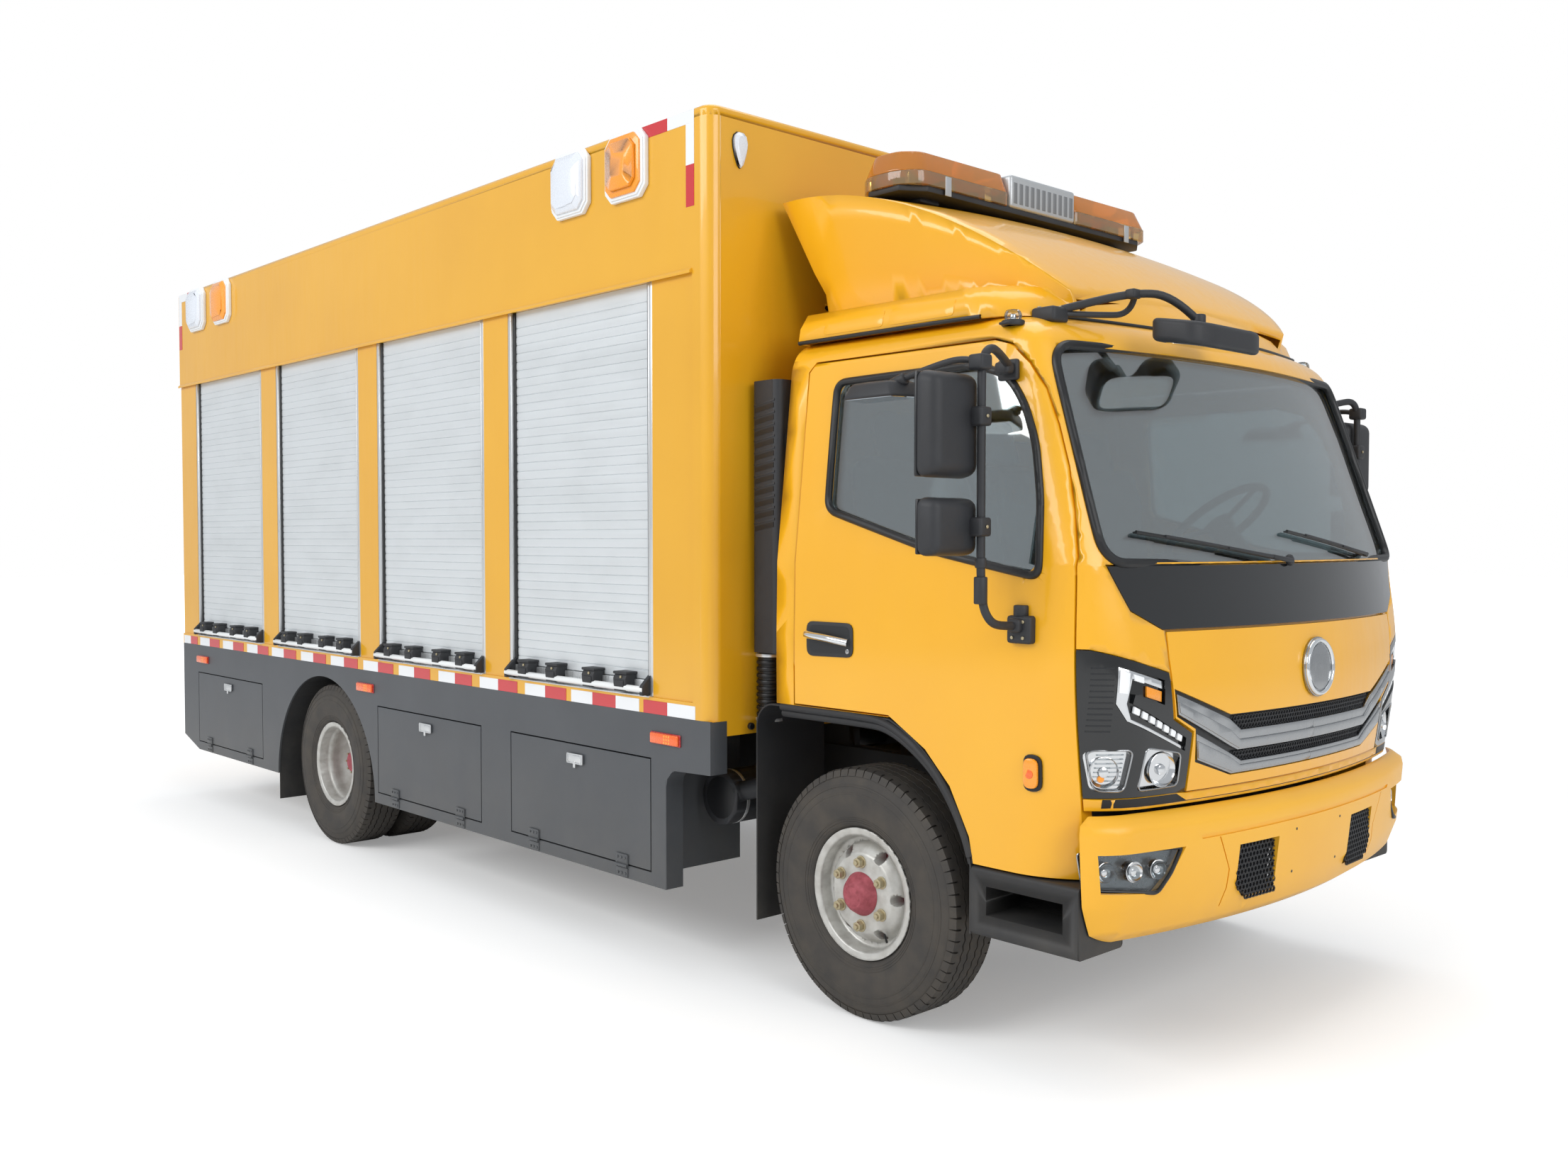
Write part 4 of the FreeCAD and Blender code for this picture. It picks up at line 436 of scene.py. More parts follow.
def pipe(points, radius, rounding=4, sides=4, closed=False, order=3):
    """A round tube along a smooth line through the points."""
    bpy.ops.object.select_all(action="DESELECT")
    bpy.ops.curve.primitive_nurbs_path_add()
    curve = bpy.context.active_object
    curve.data.splines.clear()
    spline = curve.data.splines.new("NURBS")
    spline.points.add(len(points) - 1)
    for control, spot in zip(spline.points, points):
        control.co = (*spot, 1)
    spline.order_u = order
    spline.use_endpoint_u, spline.use_cyclic_u = not closed, closed
    spline.resolution_u = rounding
    curve.data.bevel_depth, curve.data.bevel_resolution = radius, sides
    curve.data.use_fill_caps = not closed
    curve.location = (0, 0, 0)
    only(curve)
    bpy.ops.object.convert(target="MESH")
    return recalculate(bpy.context.active_object)


def copy_of(ob, shift=(0, 0, 0), mirror=False):
    """A copy with its own mesh, moved by shift, or on the truck's other side."""
    twin = ob.copy()
    twin.data = ob.data.copy()
    bpy.context.scene.collection.objects.link(twin)
    twin.parent = None
    twin.matrix_world = Matrix.Identity(4)
    if mirror:
        twin.data.transform(Matrix.Diagonal((1, -1, 1, 1)))
        twin.data.flip_normals()
    twin.data.transform(Matrix.Translation(shift))
    return twin


def both_sides(ob, name, material, body, angle=30):
    """Dresses a right-hand piece and its left-hand twin; body may hold {side}."""
    twin = copy_of(ob, mirror=True)
    dress(ob, f"{name}_right", material, body.format(side="right"), angle)
    dress(twin, f"{name}_left", material, body.format(side="left"), angle)
    return ob, twin


def smooth_copy(node, material, angle=32, weld=0.00002):
    """A merged, smooth-shaded copy of a CAD node that stands for it."""
    source = frame["nodes"][node]
    piece = source.copy()
    piece.data = source.data.copy()
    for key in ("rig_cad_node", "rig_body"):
        del piece[key]
    bpy.context.scene.collection.objects.link(piece)
    piece.parent = None
    only(piece)
    bpy.ops.object.mode_set(mode="EDIT")
    bpy.ops.mesh.select_all(action="SELECT")
    bpy.ops.mesh.remove_doubles(threshold=weld)
    bpy.ops.object.mode_set(mode="OBJECT")
    dress(piece, f"{node}_skin", material, BODY_OF[node], angle)
    apply_modifier(piece, "WEIGHTED_NORMAL", keep_sharp=True, weight=80)
    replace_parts(piece, node)
    return piece


def plain_node(node, material):
    """A CAD node whose flat faces are right as they are gets only its material."""
    ob = frame["nodes"][node]
    ob.data.materials.clear()
    ob.data.materials.append(MAT[material])
    return ob


# ---------------------------------------------------------------- carried-over solids

SMOOTH = {
    "cab_enamel": ["cab_shell", "cab_door_left", "cab_door_right", "front_panel", "roof_fairing"],
    "bumper": ["front_bumper"],
    "gloss_black": ["cowl_panel"],
    "box_enamel": ["box_front_wall", "box_roof"],
    "glass": ["cab_glass", "door_window_left", "door_window_right"],
    "wheel": ["front_rim_left", "front_rim_right", "rear_rims_left", "rear_rims_right"],
    "frame": ["leaf_springs", "chassis_frame"],
    "iron": ["front_axle", "rear_axle", "power_train", "steering_knuckle_left", "steering_knuckle_right"],
    "arch_plastic": ["mudguards", "cab_steps"],
    "plastic": ["air_intake"],
    "dash": ["dashboard", "steering_wheel", "seat_bases"],
    "dull_aluminium": ["silencer"],
}
FLAT = {
    "box_enamel": ["box_sides", "box_floor", "rear_door_left", "rear_door_right"],
    "skirt": ["side_skirts", "lockers", "rear_bumper"] + [f"{word}_lid_{side}" for word in ("rear", "middle", "front")
                                                        for side, _ in SIDES],
    "dull_aluminium": ["radiator", "fuel_tank"],
}
skins = {}
for key, names in SMOOTH.items():
    for node_name in names:
        skins[node_name] = smooth_copy(node_name, key, 48 if node_name == "roof_fairing" else 32)
for key, names in FLAT.items():
    for node_name in names:
        plain_node(node_name, key)


# ---------------------------------------------------------------- box body

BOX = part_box("box_roof")
SHUTTERS = [(0.432, 1.452), (-0.791, 0.229), (-2.014, -0.994), (-3.237, -2.217)]
SHUTTER_LOW, SHUTTER_HIGH, SKIN_Y, POST_Y = 1.030, 2.600, 1.175, 1.167


def taper(ob, push, share):
    """Extrudes the face that looks along push once more, and shrinks its end."""
    push = Vector(push)
    only(ob)
    for face in ob.data.polygons:
        face.select = False
    far = max(face.center.dot(push) for face in ob.data.polygons)
    ends = [face for face in ob.data.polygons if face.center.dot(push) > far - 1e-6]
    for face in ends:
        face.select = True
    bpy.ops.object.mode_set(mode="EDIT")
    bpy.ops.mesh.select_mode(type="FACE")
    bpy.ops.mesh.extrude_region_move(TRANSFORM_OT_translate={"value": push})
    bpy.ops.transform.resize(value=(share, share, share), center_override=ends_middle(ob, push))
    bpy.ops.object.mode_set(mode="OBJECT")
    return ob


def ends_middle(ob, push):
    """The middle of the corners that lie furthest along push."""
    bpy.ops.object.mode_set(mode="OBJECT")
    far = max(v.co.dot(push) for v in ob.data.vertices)
    ends = [v.co for v in ob.data.vertices if v.co.dot(push) > far - 1e-6]
    bpy.ops.object.mode_set(mode="EDIT")
    return sum(ends, Vector()) / len(ends)


def octagon(mid_x, mid_z, half_w, half_h, cut, y):
    corners = [(-half_w + cut, -half_h), (half_w - cut, -half_h), (half_w, -half_h + cut), (half_w, half_h - cut),
               (half_w - cut, half_h), (-half_w + cut, half_h), (-half_w, half_h - cut), (-half_w, -half_h + cut)]
    return [(mid_x + a, y, mid_z + b) for a, b in corners]


def side_tape():
    """Red and white reflective strips along the foot of the box and at its upper corners."""
    pairs = [(-3.47, -3.244), (-3.195, -2.88), (-2.821, -2.504), (-2.449, -2.142), (-2.091, -1.765),
             (-1.699, -1.388), (-1.327, -1.014), (-0.949, -0.629), (-0.570, -0.261), (-0.179, 0.123),
             (0.192, 0.504), (0.566, 0.877)]
    low, high = 0.968, 1.018
    white, red = [(1.402 + 0.148, 1.715, low, high)], [(1.402, 1.550, low, high)]
    for start, end in pairs:
        mid = (start + end) / 2
        white.append((start, mid, low, high))
        red.append((mid, end, low, high))
    white += [(0.914, 1.064, low, high), (1.222, 1.375, low, high)]
    red.append((1.064, 1.222, low, high))
    white += [(1.560, 1.715, 3.133, 3.180), (1.668, 1.715, 2.985, 3.133), (-3.480, -3.330, 3.133, 3.180),
              (-3.480, -3.433, 2.985, 3.133)]
    red += [(1.406, 1.560, 3.133, 3.180), (1.668, 1.715, 2.835, 2.985), (-3.330, -3.180, 3.133, 3.180),
            (-3.480, -3.433, 2.835, 2.985)]
    for name, strips in (("tape_white", white), ("tape_red", red)):
        pieces = [brick((a, -SKIN_Y - 0.0016, c), (b, -SKIN_Y + 0.0004, d), 0.0006, 1) for a, b, c, d in strips]
        both_sides(join_up(pieces), name, name, ROOT)


def drip_rail():
    """The folded lip under the upper band of each side."""
    profile = [(-3.487, -1.172, 2.598), (-3.487, -1.186, 2.594), (-3.487, -1.187, 2.604), (-3.487, -1.172, 2.618)]
    rail = outline(profile, (3.487 + 1.700, 0, 0), 0.001, 1)
    both_sides(rail, "drip_rail", "box_enamel", ROOT)


def curtain_profile(x):
    """The curtain's section from its foot up: flat slats with a groove between each two."""
    pitch, groove, face, foot = 0.036, 0.0035, -1.151, SHUTTER_LOW + 0.062
    points = []
    count = int((SHUTTER_HIGH - foot) / pitch)
    for i in range(count):
        low = foot + i * pitch
        points += [(x, face + 0.0035, low), (x, face + 0.0003, low + groove * 0.6), (x, face - 0.0006, low + pitch * 0.5),
                   (x, face + 0.0003, low + pitch - groove * 0.6)]
    points += [(x, face, SHUTTER_HIGH - 0.001), (x, -1.138, SHUTTER_HIGH - 0.001), (x, -1.138, foot)]
    return points


def latch_block(x):
    """A lift-bar latch: a black body with a sloping hood and a hook round the bar; its rivet is added with the
    shutters.
    """
    body = outline([(x - 0.040, -1.150, 1.050), (x - 0.040, -1.205, 1.042), (x - 0.040, -1.209, 1.092),
                    (x - 0.040, -1.198, 1.112), (x - 0.040, -1.150, 1.120)], (0.080, 0, 0), 0.004, 2)
    hood = brick((x - 0.044, -1.206, 1.108), (x + 0.044, -1.150, 1.119), 0.003)
    lip = brick((x - 0.030, -1.2125, 1.060), (x + 0.030, -1.200, 1.086), 0.003)
    return join_up([body, hood, lip])


def end_bracket(x):
    return outline([(x - 0.010, -1.150, 1.036), (x - 0.010, -1.207, 1.036), (x - 0.010, -1.207, 1.072),
                    (x - 0.010, -1.160, 1.118), (x - 0.010, -1.150, 1.118)], (0.020, 0, 0), 0.003, 2)


def shutters():
    """Each shutter: slatted curtain, guides with brush seals, bottom rail, lift bar and latches."""
    curtains, guides, brushes, rails, bars, blacks, rivets = [], [], [], [], [], [], []
    for rear, front in SHUTTERS:
        curtains.append(outline(curtain_profile(rear + 0.030), (front - rear - 0.060, 0, 0)))
        for edge, way in ((rear, 1), (front, -1)):
            flange = sorted((edge + way * 0.0005, edge + way * 0.026))
            lip = sorted((edge + way * 0.020, edge + way * 0.0265))
            brush = sorted((edge + way * 0.026, edge + way * 0.044))
            guides.append(brick((flange[0], -1.1665, SHUTTER_LOW), (flange[1], -1.136, SHUTTER_HIGH - 0.0005), 0.0015))
            guides.append(brick((lip[0], -1.1685, SHUTTER_LOW), (lip[1], -1.136, SHUTTER_HIGH - 0.0005), 0.0015))
            brushes.append(brick((brush[0], -1.1575, SHUTTER_LOW + 0.004), (brush[1], -1.1365, SHUTTER_HIGH - 0.001), 0.002))
        rails.append(brick((rear + 0.03, -1.162, SHUTTER_LOW + 0.001), (front - 0.03, -1.139, SHUTTER_LOW + 0.060), 0.003))
        rails.append(brick((rear + 0.012, -1.180, SHUTTER_LOW - 0.002), (front - 0.012, -1.150, SHUTTER_LOW + 0.004), 0.0015))
        bars.append(bar((rear + 0.018, -1.197, 1.058), (front - 0.018, -1.197, 1.058), 0.0125, 0.002, 28))
        for share in (0.16, 0.37, 0.63, 0.84):
            x = rear + (front - rear) * share
            blacks.append(latch_block(x))
            rivets.append(bar((x + 0.012, -1.2115, 1.099), (x + 0.012, -1.206, 1.099), 0.0055, 0.001, 12))
        blacks += [end_bracket(rear + 0.026), end_bracket(front - 0.026)]
    for name, pieces, mat, slot in (("shutter_curtains", curtains, "slat", "shutter_aluminium"),
                                    ("shutter_guides", guides, "aluminium", "shutter_aluminium"),
                                    ("shutter_brushes", brushes, "seal", "black_plastic"),
                                    ("shutter_bottom_rails", rails, "aluminium", "shutter_aluminium"),
                                    ("lift_bars", bars, "bar_white", "shutter_aluminium"),
                                    ("lift_bar_latches", blacks, "plastic", "black_plastic"),
                                    ("latch_rivets", rivets, "zinc", "shutter_aluminium")):
        pair = both_sides(join_up(pieces), name, mat, ROOT)
        if name == "shutter_curtains":
            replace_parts(pair[0], "roller_shutters")


def warning_lamp(x, lens):
    """A surface-mounted side lamp: white base with a stepped rim under a faceted lens."""
    base = outline(octagon(x, 3.050, 0.128, 0.130, 0.040, -SKIN_Y), (0, -0.020, 0), 0.004, 2)
    rim = outline(octagon(x, 3.050, 0.120, 0.122, 0.038, -SKIN_Y - 0.019), (0, -0.007, 0), 0.002, 2)
    cover = outline(octagon(x, 3.050, 0.108, 0.112, 0.034, -SKIN_Y - 0.020), (0, -0.014, 0))
    taper(cover, (0, -0.014, 0), 0.80)
    taper(cover, (0, -0.008, 0), 0.52)
    soften(cover, 0.003, 3, 12)
    screws = [bar((x + a, -SKIN_Y - 0.024, 3.05 + b), (x + a, -SKIN_Y - 0.031, 3.05 + b), 0.005, 0.001, 12)
              for a in (-0.078, 0.078) for b in (-0.088, 0.088)]
    return join_up([base, rim]), cover, screws


def side_lamps():
    bases, covers, screws = [], {"amber_lens": [], "clear_lens": []}, []
    for x, lens in ((1.318, "amber_lens"), (0.945, "clear_lens"), (-2.745, "amber_lens"), (-3.145, "clear_lens")):
        base, cover, holding = warning_lamp(x, lens)
        bases.append(base)
        covers[lens].append(cover)
        screws += holding
    pair = both_sides(join_up(bases), "warning_lamp_bases", "white_base", ROOT)
    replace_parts(pair[0], "warning_lamps")
    for lens, pieces in covers.items():
        both_sides(join_up(pieces), f"warning_{lens}", lens, ROOT, 20)
    both_sides(join_up(screws), "warning_lamp_screws", "zinc", ROOT)


def marker_lamps():
    """Orange side markers on the skirt, teardrop clearance lamps at the front and the tail lamps."""
    housings, lenses, bright = [], [], []
    for x in (1.541, -0.925, -3.147):
        housings.append(brick((x - 0.090, -SKIN_Y - 0.006, 0.857), (x + 0.090, -SKIN_Y, 0.903), 0.003))
        lenses.append(brick((x - 0.084, -SKIN_Y - 0.015, 0.860), (x + 0.084, -SKIN_Y - 0.004, 0.900), 0.005, 3))
        for i in range(3):
            for j in range(3):
                spot = (x + 0.006 + i * 0.014, -SKIN_Y - 0.0145, 0.868 + j * 0.012)
                bright.append(bar(spot, (spot[0], spot[1] - 0.0012, spot[2]), 0.0048, 0, 10))
    pair = both_sides(join_up(lenses), "side_marker_lenses", "orange_lens", ROOT)
    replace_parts(pair[0], "marker_and_tail_lamps")
    both_sides(join_up(housings), "side_marker_housings", "red_lens", ROOT)
    both_sides(join_up(bright), "side_marker_cells", "amber_lens", ROOT)

    drop = [(0.026, 0.050), (0.032, 0.030), (0.030, 0.005), (0.022, -0.025), (0.010, -0.055), (0.0, -0.064),
            (-0.010, -0.055), (-0.022, -0.025), (-0.030, 0.005), (-0.032, 0.030), (-0.026, 0.050), (-0.012, 0.062),
            (0.012, 0.062)]
    gasket = outline([(BOX[1].x - 0.001, -1.034 + a * 1.12, 3.040 + b * 1.05) for a, b in drop], (0.006, 0, 0), 0.002)
    lens = outline([(BOX[1].x + 0.004, -1.034 + a, 3.040 + b) for a, b in drop], (0.008, 0, 0))
    taper(lens, (0.010, 0, 0), 0.72)
    soften(lens, 0.002, 3, 12)
    both_sides(gasket, "clearance_gasket", "seal", ROOT)
    both_sides(lens, "clearance_lens", "clear_lens", ROOT)

    cluster = [(0.750, 0.835, "amber_lens"), (0.838, 0.925, "red_lens"), (0.928, 1.010, "clear_lens")]
    case = brick((-3.432, -1.014, 0.686), (-3.398, -0.746, 0.794), 0.006, 3)
    both_sides(case, "tail_lamp_case", "plastic", ROOT)
    for near, far, lens_kind in cluster:
        pane = brick((-3.452, -far, 0.694), (-3.428, -near, 0.786), 0.006, 3)
        both_sides(pane, f"tail_{lens_kind}", lens_kind, ROOT)


def box_front_fittings():
    """Thin black plates on the front wall, painted shade standing for the louvre slots' openings, with a lip over each,
    and the small drain bungs.
    """
    # Each slot is a thin black plate on the wall's face: painted shade, not an opening.
    slots = []
    for i in range(24):
        low = 2.512 - i * 0.046
        slots.append(outline([(1.7985, -0.597, low + 0.006), (1.7985, -0.590, low), (1.7985, -0.496, low),
                              (1.7985, -0.489, low + 0.006), (1.7985, -0.489, low + 0.013), (1.7985, -0.496, low + 0.019),
                              (1.7985, -0.590, low + 0.019), (1.7985, -0.597, low + 0.013)], (0.0021, 0, 0)))
    both_sides(join_up(slots), "front_wall_slots", "lamp_black", ROOT)
    lips = []
    for i in range(24):
        low = 2.512 - i * 0.046
        lips.append(brick((1.7995, -0.597, low + 0.019), (1.8045, -0.489, low + 0.023), 0.0015))
    both_sides(join_up(lips), "front_wall_slot_lips", "box_enamel", ROOT)
    bung = bar((1.799, -0.985, 0.938), (1.816, -0.985, 0.938), 0.013, 0.004, 20)
    both_sides(bung, "drain_bung", "seal", ROOT)


def skirt_fittings():
    """Lid latches with their keys, hinge leaves with bolts, and the returns of the skirt's front edge."""
    for word, mid in (("rear", -2.735), ("middle", -0.300), ("front", 0.947)):
        plate = brick((mid - 0.056, -1.1832, 0.716), (mid + 0.056, -1.1815, 0.758), 0.0008)
        frame_bars = [brick((mid - 0.056, -1.1858, 0.716), (mid + 0.056, -1.1815, 0.721), 0.0015),
                      brick((mid - 0.056, -1.1858, 0.753), (mid + 0.056, -1.1815, 0.758), 0.0015),
                      brick((mid - 0.056, -1.1858, 0.716), (mid - 0.051, -1.1815, 0.758), 0.0015),
                      brick((mid + 0.051, -1.1858, 0.716), (mid + 0.056, -1.1815, 0.758), 0.0015)]
        paddle = brick((mid - 0.012, -1.1862, 0.723), (mid + 0.048, -1.183, 0.751), 0.003, 3)
        key = brick((mid - 0.008, -1.1875, 0.700), (mid + 0.006, -1.183, 0.728), 0.004, 3)
        whole = join_up([plate, *frame_bars, paddle, key])
        both_sides(whole, f"{word}_lid_latch", "aluminium", f"{word}_lid_{{side}}_body")
        moving, fixed = [], []
        for way in (-1, 1):
            x = mid + way * 0.315
            moving.append(brick((x - 0.037, -1.1815, 0.366), (x + 0.037, -1.1795, 0.402), 0.001))
            fixed.append(brick((x - 0.037, -1.179, 0.312), (x + 0.037, -1.174, 0.347), 0.001))
            fixed.append(bar((x - 0.013, -1.182, 0.357), (x + 0.013, -1.182, 0.357), 0.0067, 0.001, 16))
            for a in (-0.024, 0.0, 0.024):
                moving.append(bar((x + a, -1.181, 0.388), (x + a, -1.1845, 0.388), 0.0055, 0.001, 12))
                fixed.append(bar((x + a, -1.178, 0.326), (x + a, -1.1825, 0.326), 0.0055, 0.001, 12))
        both_sides(join_up(moving), f"{word}_lid_hinge_leaves", "skirt", f"{word}_lid_{{side}}_body")
        both_sides(join_up(fixed), f"{word}_skirt_hinge_leaves", "skirt", ROOT)
    edge = brick((1.790, -1.1745, 0.773), (1.8005, -1.095, 0.967), 0.002)
    step = [(1.540, 0.309), (1.540, 0.700), (1.546, 0.728), (1.562, 0.750), (1.588, 0.764), (1.620, 0.770), (1.800, 0.775)]
    skin = [(x, -1.1745, z) for x, z in step] + [(x - 0.010 if x < 1.6 else x, -1.1745, z + (0.004 if x > 1.6 else 0))
                                               for x, z in reversed(step)]
    ledge = outline(skin, (0, 0.080, 0))
    tail = outline([(-3.486, -1.1745, 0.384), (-3.486, -1.1745, 0.967), (-3.478, -1.1745, 0.967), (-3.478, -1.1745, 0.384)],
                   (0, 0.050, 0))
    both_sides(join_up([edge, ledge, tail]), "skirt_returns", "skirt", ROOT)


side_tape()
drip_rail()
shutters()
side_lamps()
marker_lamps()
box_front_fittings()
skirt_fittings()


# ---------------------------------------------------------------- cab front

WINDSCREEN = [(-0.936, 1.560), (0.936, 1.560), (0.892, 2.222), (-0.892, 2.222)]
DOOR_WINDOW = [(2.245, 1.732), (2.740, 1.598), (3.140, 1.520), (3.125, 1.750), (3.092, 1.915), (3.042, 2.035),
               (2.974, 2.123), (2.850, 2.165), (2.245, 2.165)]


def cast(targets, origin, way):
    """The first point that a ray meets on the targets."""
    best = None
    for ob in targets:
        found, spot, _, _ = ob.ray_cast(Vector(origin), Vector(way))
        if found and (best is None or (spot - Vector(origin)).length < (best - Vector(origin)).length):
            best = spot
    return best


def on_front(y, z, out=0.0, targets=("front_panel", "cab_shell", "cowl_panel", "front_bumper", "roof_fairing")):
    spot = cast([skins[name] for name in targets], (4.5, y, z), (-1, 0, 0))
    return spot + Vector((out, 0, 0))


def on_side(x, z, out=0.0, targets=("cab_door_right", "cab_shell")):
    spot = cast([skins[name] for name in targets], (x, -1.6, z), (0, 1, 0))
    return spot - Vector((0, out, 0))


def on_roof(x, y):
    return cast([skins["cab_shell"]], (x, y, 3.4), (0, 0, -1))


def bent(points, reach):
    """The corners of an outline rounded, with five points each, the first and last reach away."""
    smooth = []
    count = len(points)
    for i, corner in enumerate(points):
        corner, before, after = Vector(corner), Vector(points[i - 1]), Vector(points[(i + 1) % count])
        start = corner + (before - corner).normalized() * min(reach, (before - corner).length * 0.48)
        end = corner + (after - corner).normalized() * min(reach, (after - corner).length * 0.48)
        for share in (0, 0.25, 0.5, 0.75, 1):
            smooth.append(tuple(start * (1 - share) ** 2 + corner * 2 * share * (1 - share) + end * share ** 2))
    return smooth


def draped(points, target, lift, thick, soft=0.0, step=0.05, axis="x"):
    """An outline laid on a curved skin: sliced so that it can bend, pressed on, and thickened outwards."""
    far = 4.4 if axis == "x" else -1.5
    spots = [(far, a, b) if axis == "x" else (a, far, b) for a, b in points]
    bpy.ops.object.select_all(action="DESELECT")
    bpy.ops.mesh.primitive_circle_add(vertices=len(points), fill_type="NGON")
    ob = bpy.context.active_object
    for vertex, spot in zip(ob.data.vertices, spots):
        vertex.co = Vector(spot)
    outward = Vector((1, 0, 0)) if axis == "x" else Vector((0, -1, 0))
    ob.data.update()
    if ob.data.polygons[0].normal.dot(outward) < 0:
        ob.data.flip_normals()
    bpy.ops.object.mode_set(mode="EDIT")
    for column, normal in ((0, (0, 1, 0) if axis == "x" else (1, 0, 0)), (1, (0, 0, 1))):
        low, high = min(p[column] for p in points), max(p[column] for p in points)
        count = int((high - low) / step)
        for i in range(1, count + 1):
            at = low + (high - low) * i / (count + 1)
            bpy.ops.mesh.select_all(action="SELECT")
            bpy.ops.mesh.bisect(plane_co=[c * at for c in normal], plane_no=normal)
    bpy.ops.object.mode_set(mode="OBJECT")
    flags = {"use_project_x": axis == "x", "use_project_y": axis == "y"}
    apply_modifier(ob, "SHRINKWRAP", wrap_method="PROJECT", target=target, offset=lift, use_positive_direction=True,
                   use_negative_direction=True, project_limit=2.0, **flags)
    apply_modifier(ob, "SOLIDIFY", thickness=thick, offset=1.0)
    return soften(ob, soft, 2, 40) if soft else ob


def carved(name, outlines, target, depth, step=0.05, axis="x"):
    """Cuts outlines into a skin to a depth."""
    skin = skins[name]
    for points in outlines:
        cutter = draped(points, target, -depth, depth + 0.05, 0, step, axis)
        apply_modifier(skin, "BOOLEAN", operation="DIFFERENCE", object=cutter, solver="EXACT")
        bpy.data.objects.remove(cutter)
    skin.data.materials.clear()
    skin.data.materials.append(MAT[skin["look"]])


def flipped(points):
    return [(-a, b) for a, b in reversed(points)]


def inside(points, y, z, margin):
    """Whether a spot lies within an outline, at least margin from each side."""
    count, within = len(points), False
    for i in range(count):
        (y1, z1), (y2, z2) = points[i], points[(i + 1) % count]
        if (z1 > z) != (z2 > z) and y < (y2 - y1) * (z - z1) / (z2 - z1) + y1:
            within = not within
        along = max(0.0, min(1.0, ((y - y1) * (y2 - y1) + (z - z1) * (z2 - z1)) / ((y2 - y1) ** 2 + (z2 - z1) ** 2)))
        if math.hypot(y - y1 - along * (y2 - y1), z - z1 - along * (z2 - z1)) < margin:
            return False
    return within


def honeycomb(points, target, lift, pitch=0.0155, wall=0.0022, thick=0.004):
    """A moulded honeycomb that fills an outline, pressed onto the skin behind it."""
    bpy.ops.object.select_all(action="DESELECT")
    bpy.ops.mesh.primitive_circle_add(vertices=6, fill_type="NGON", radius=pitch / math.sqrt(3) * 1.02,
                                      location=(4.4, 0, 0), rotation=(0, math.radians(90), 0))
    cell = settle(bpy.context.active_object)
    bpy.ops.object.mode_set(mode="EDIT")
    bpy.ops.mesh.select_all(action="SELECT")
    bpy.ops.mesh.inset(thickness=wall)
    bpy.ops.mesh.delete(type="FACE")
    bpy.ops.object.mode_set(mode="OBJECT")
    low_y, high_y = min(p[0] for p in points), max(p[0] for p in points)
    low_z, high_z = min(p[1] for p in points), max(p[1] for p in points)
    cells = []
    for row in range(int((high_z - low_z) / (pitch * 0.866)) + 1):
        for column in range(int((high_y - low_y) / pitch) + 2):
            y, z = low_y + (column + 0.5 * (row % 2)) * pitch, low_z + (row + 0.5) * pitch * 0.866
            if inside(points, y, z, 0.0045):
                cells.append(copy_of(cell, (0, y, z)))
    bpy.data.objects.remove(cell)
    net = join_up(cells)
    only(net)
    bpy.ops.object.mode_set(mode="EDIT")
    bpy.ops.mesh.select_all(action="SELECT")
    bpy.ops.mesh.remove_doubles(threshold=0.0005)
    bpy.ops.object.mode_set(mode="OBJECT")
    if sum(face.normal.x * face.area for face in net.data.polygons) < 0:
        net.data.flip_normals()
    apply_modifier(net, "SHRINKWRAP", wrap_method="PROJECT", target=target, offset=lift, use_project_x=True,
                   use_positive_direction=True, use_negative_direction=True, project_limit=2.0)
    return apply_modifier(net, "SOLIDIFY", thickness=thick, offset=1.0)


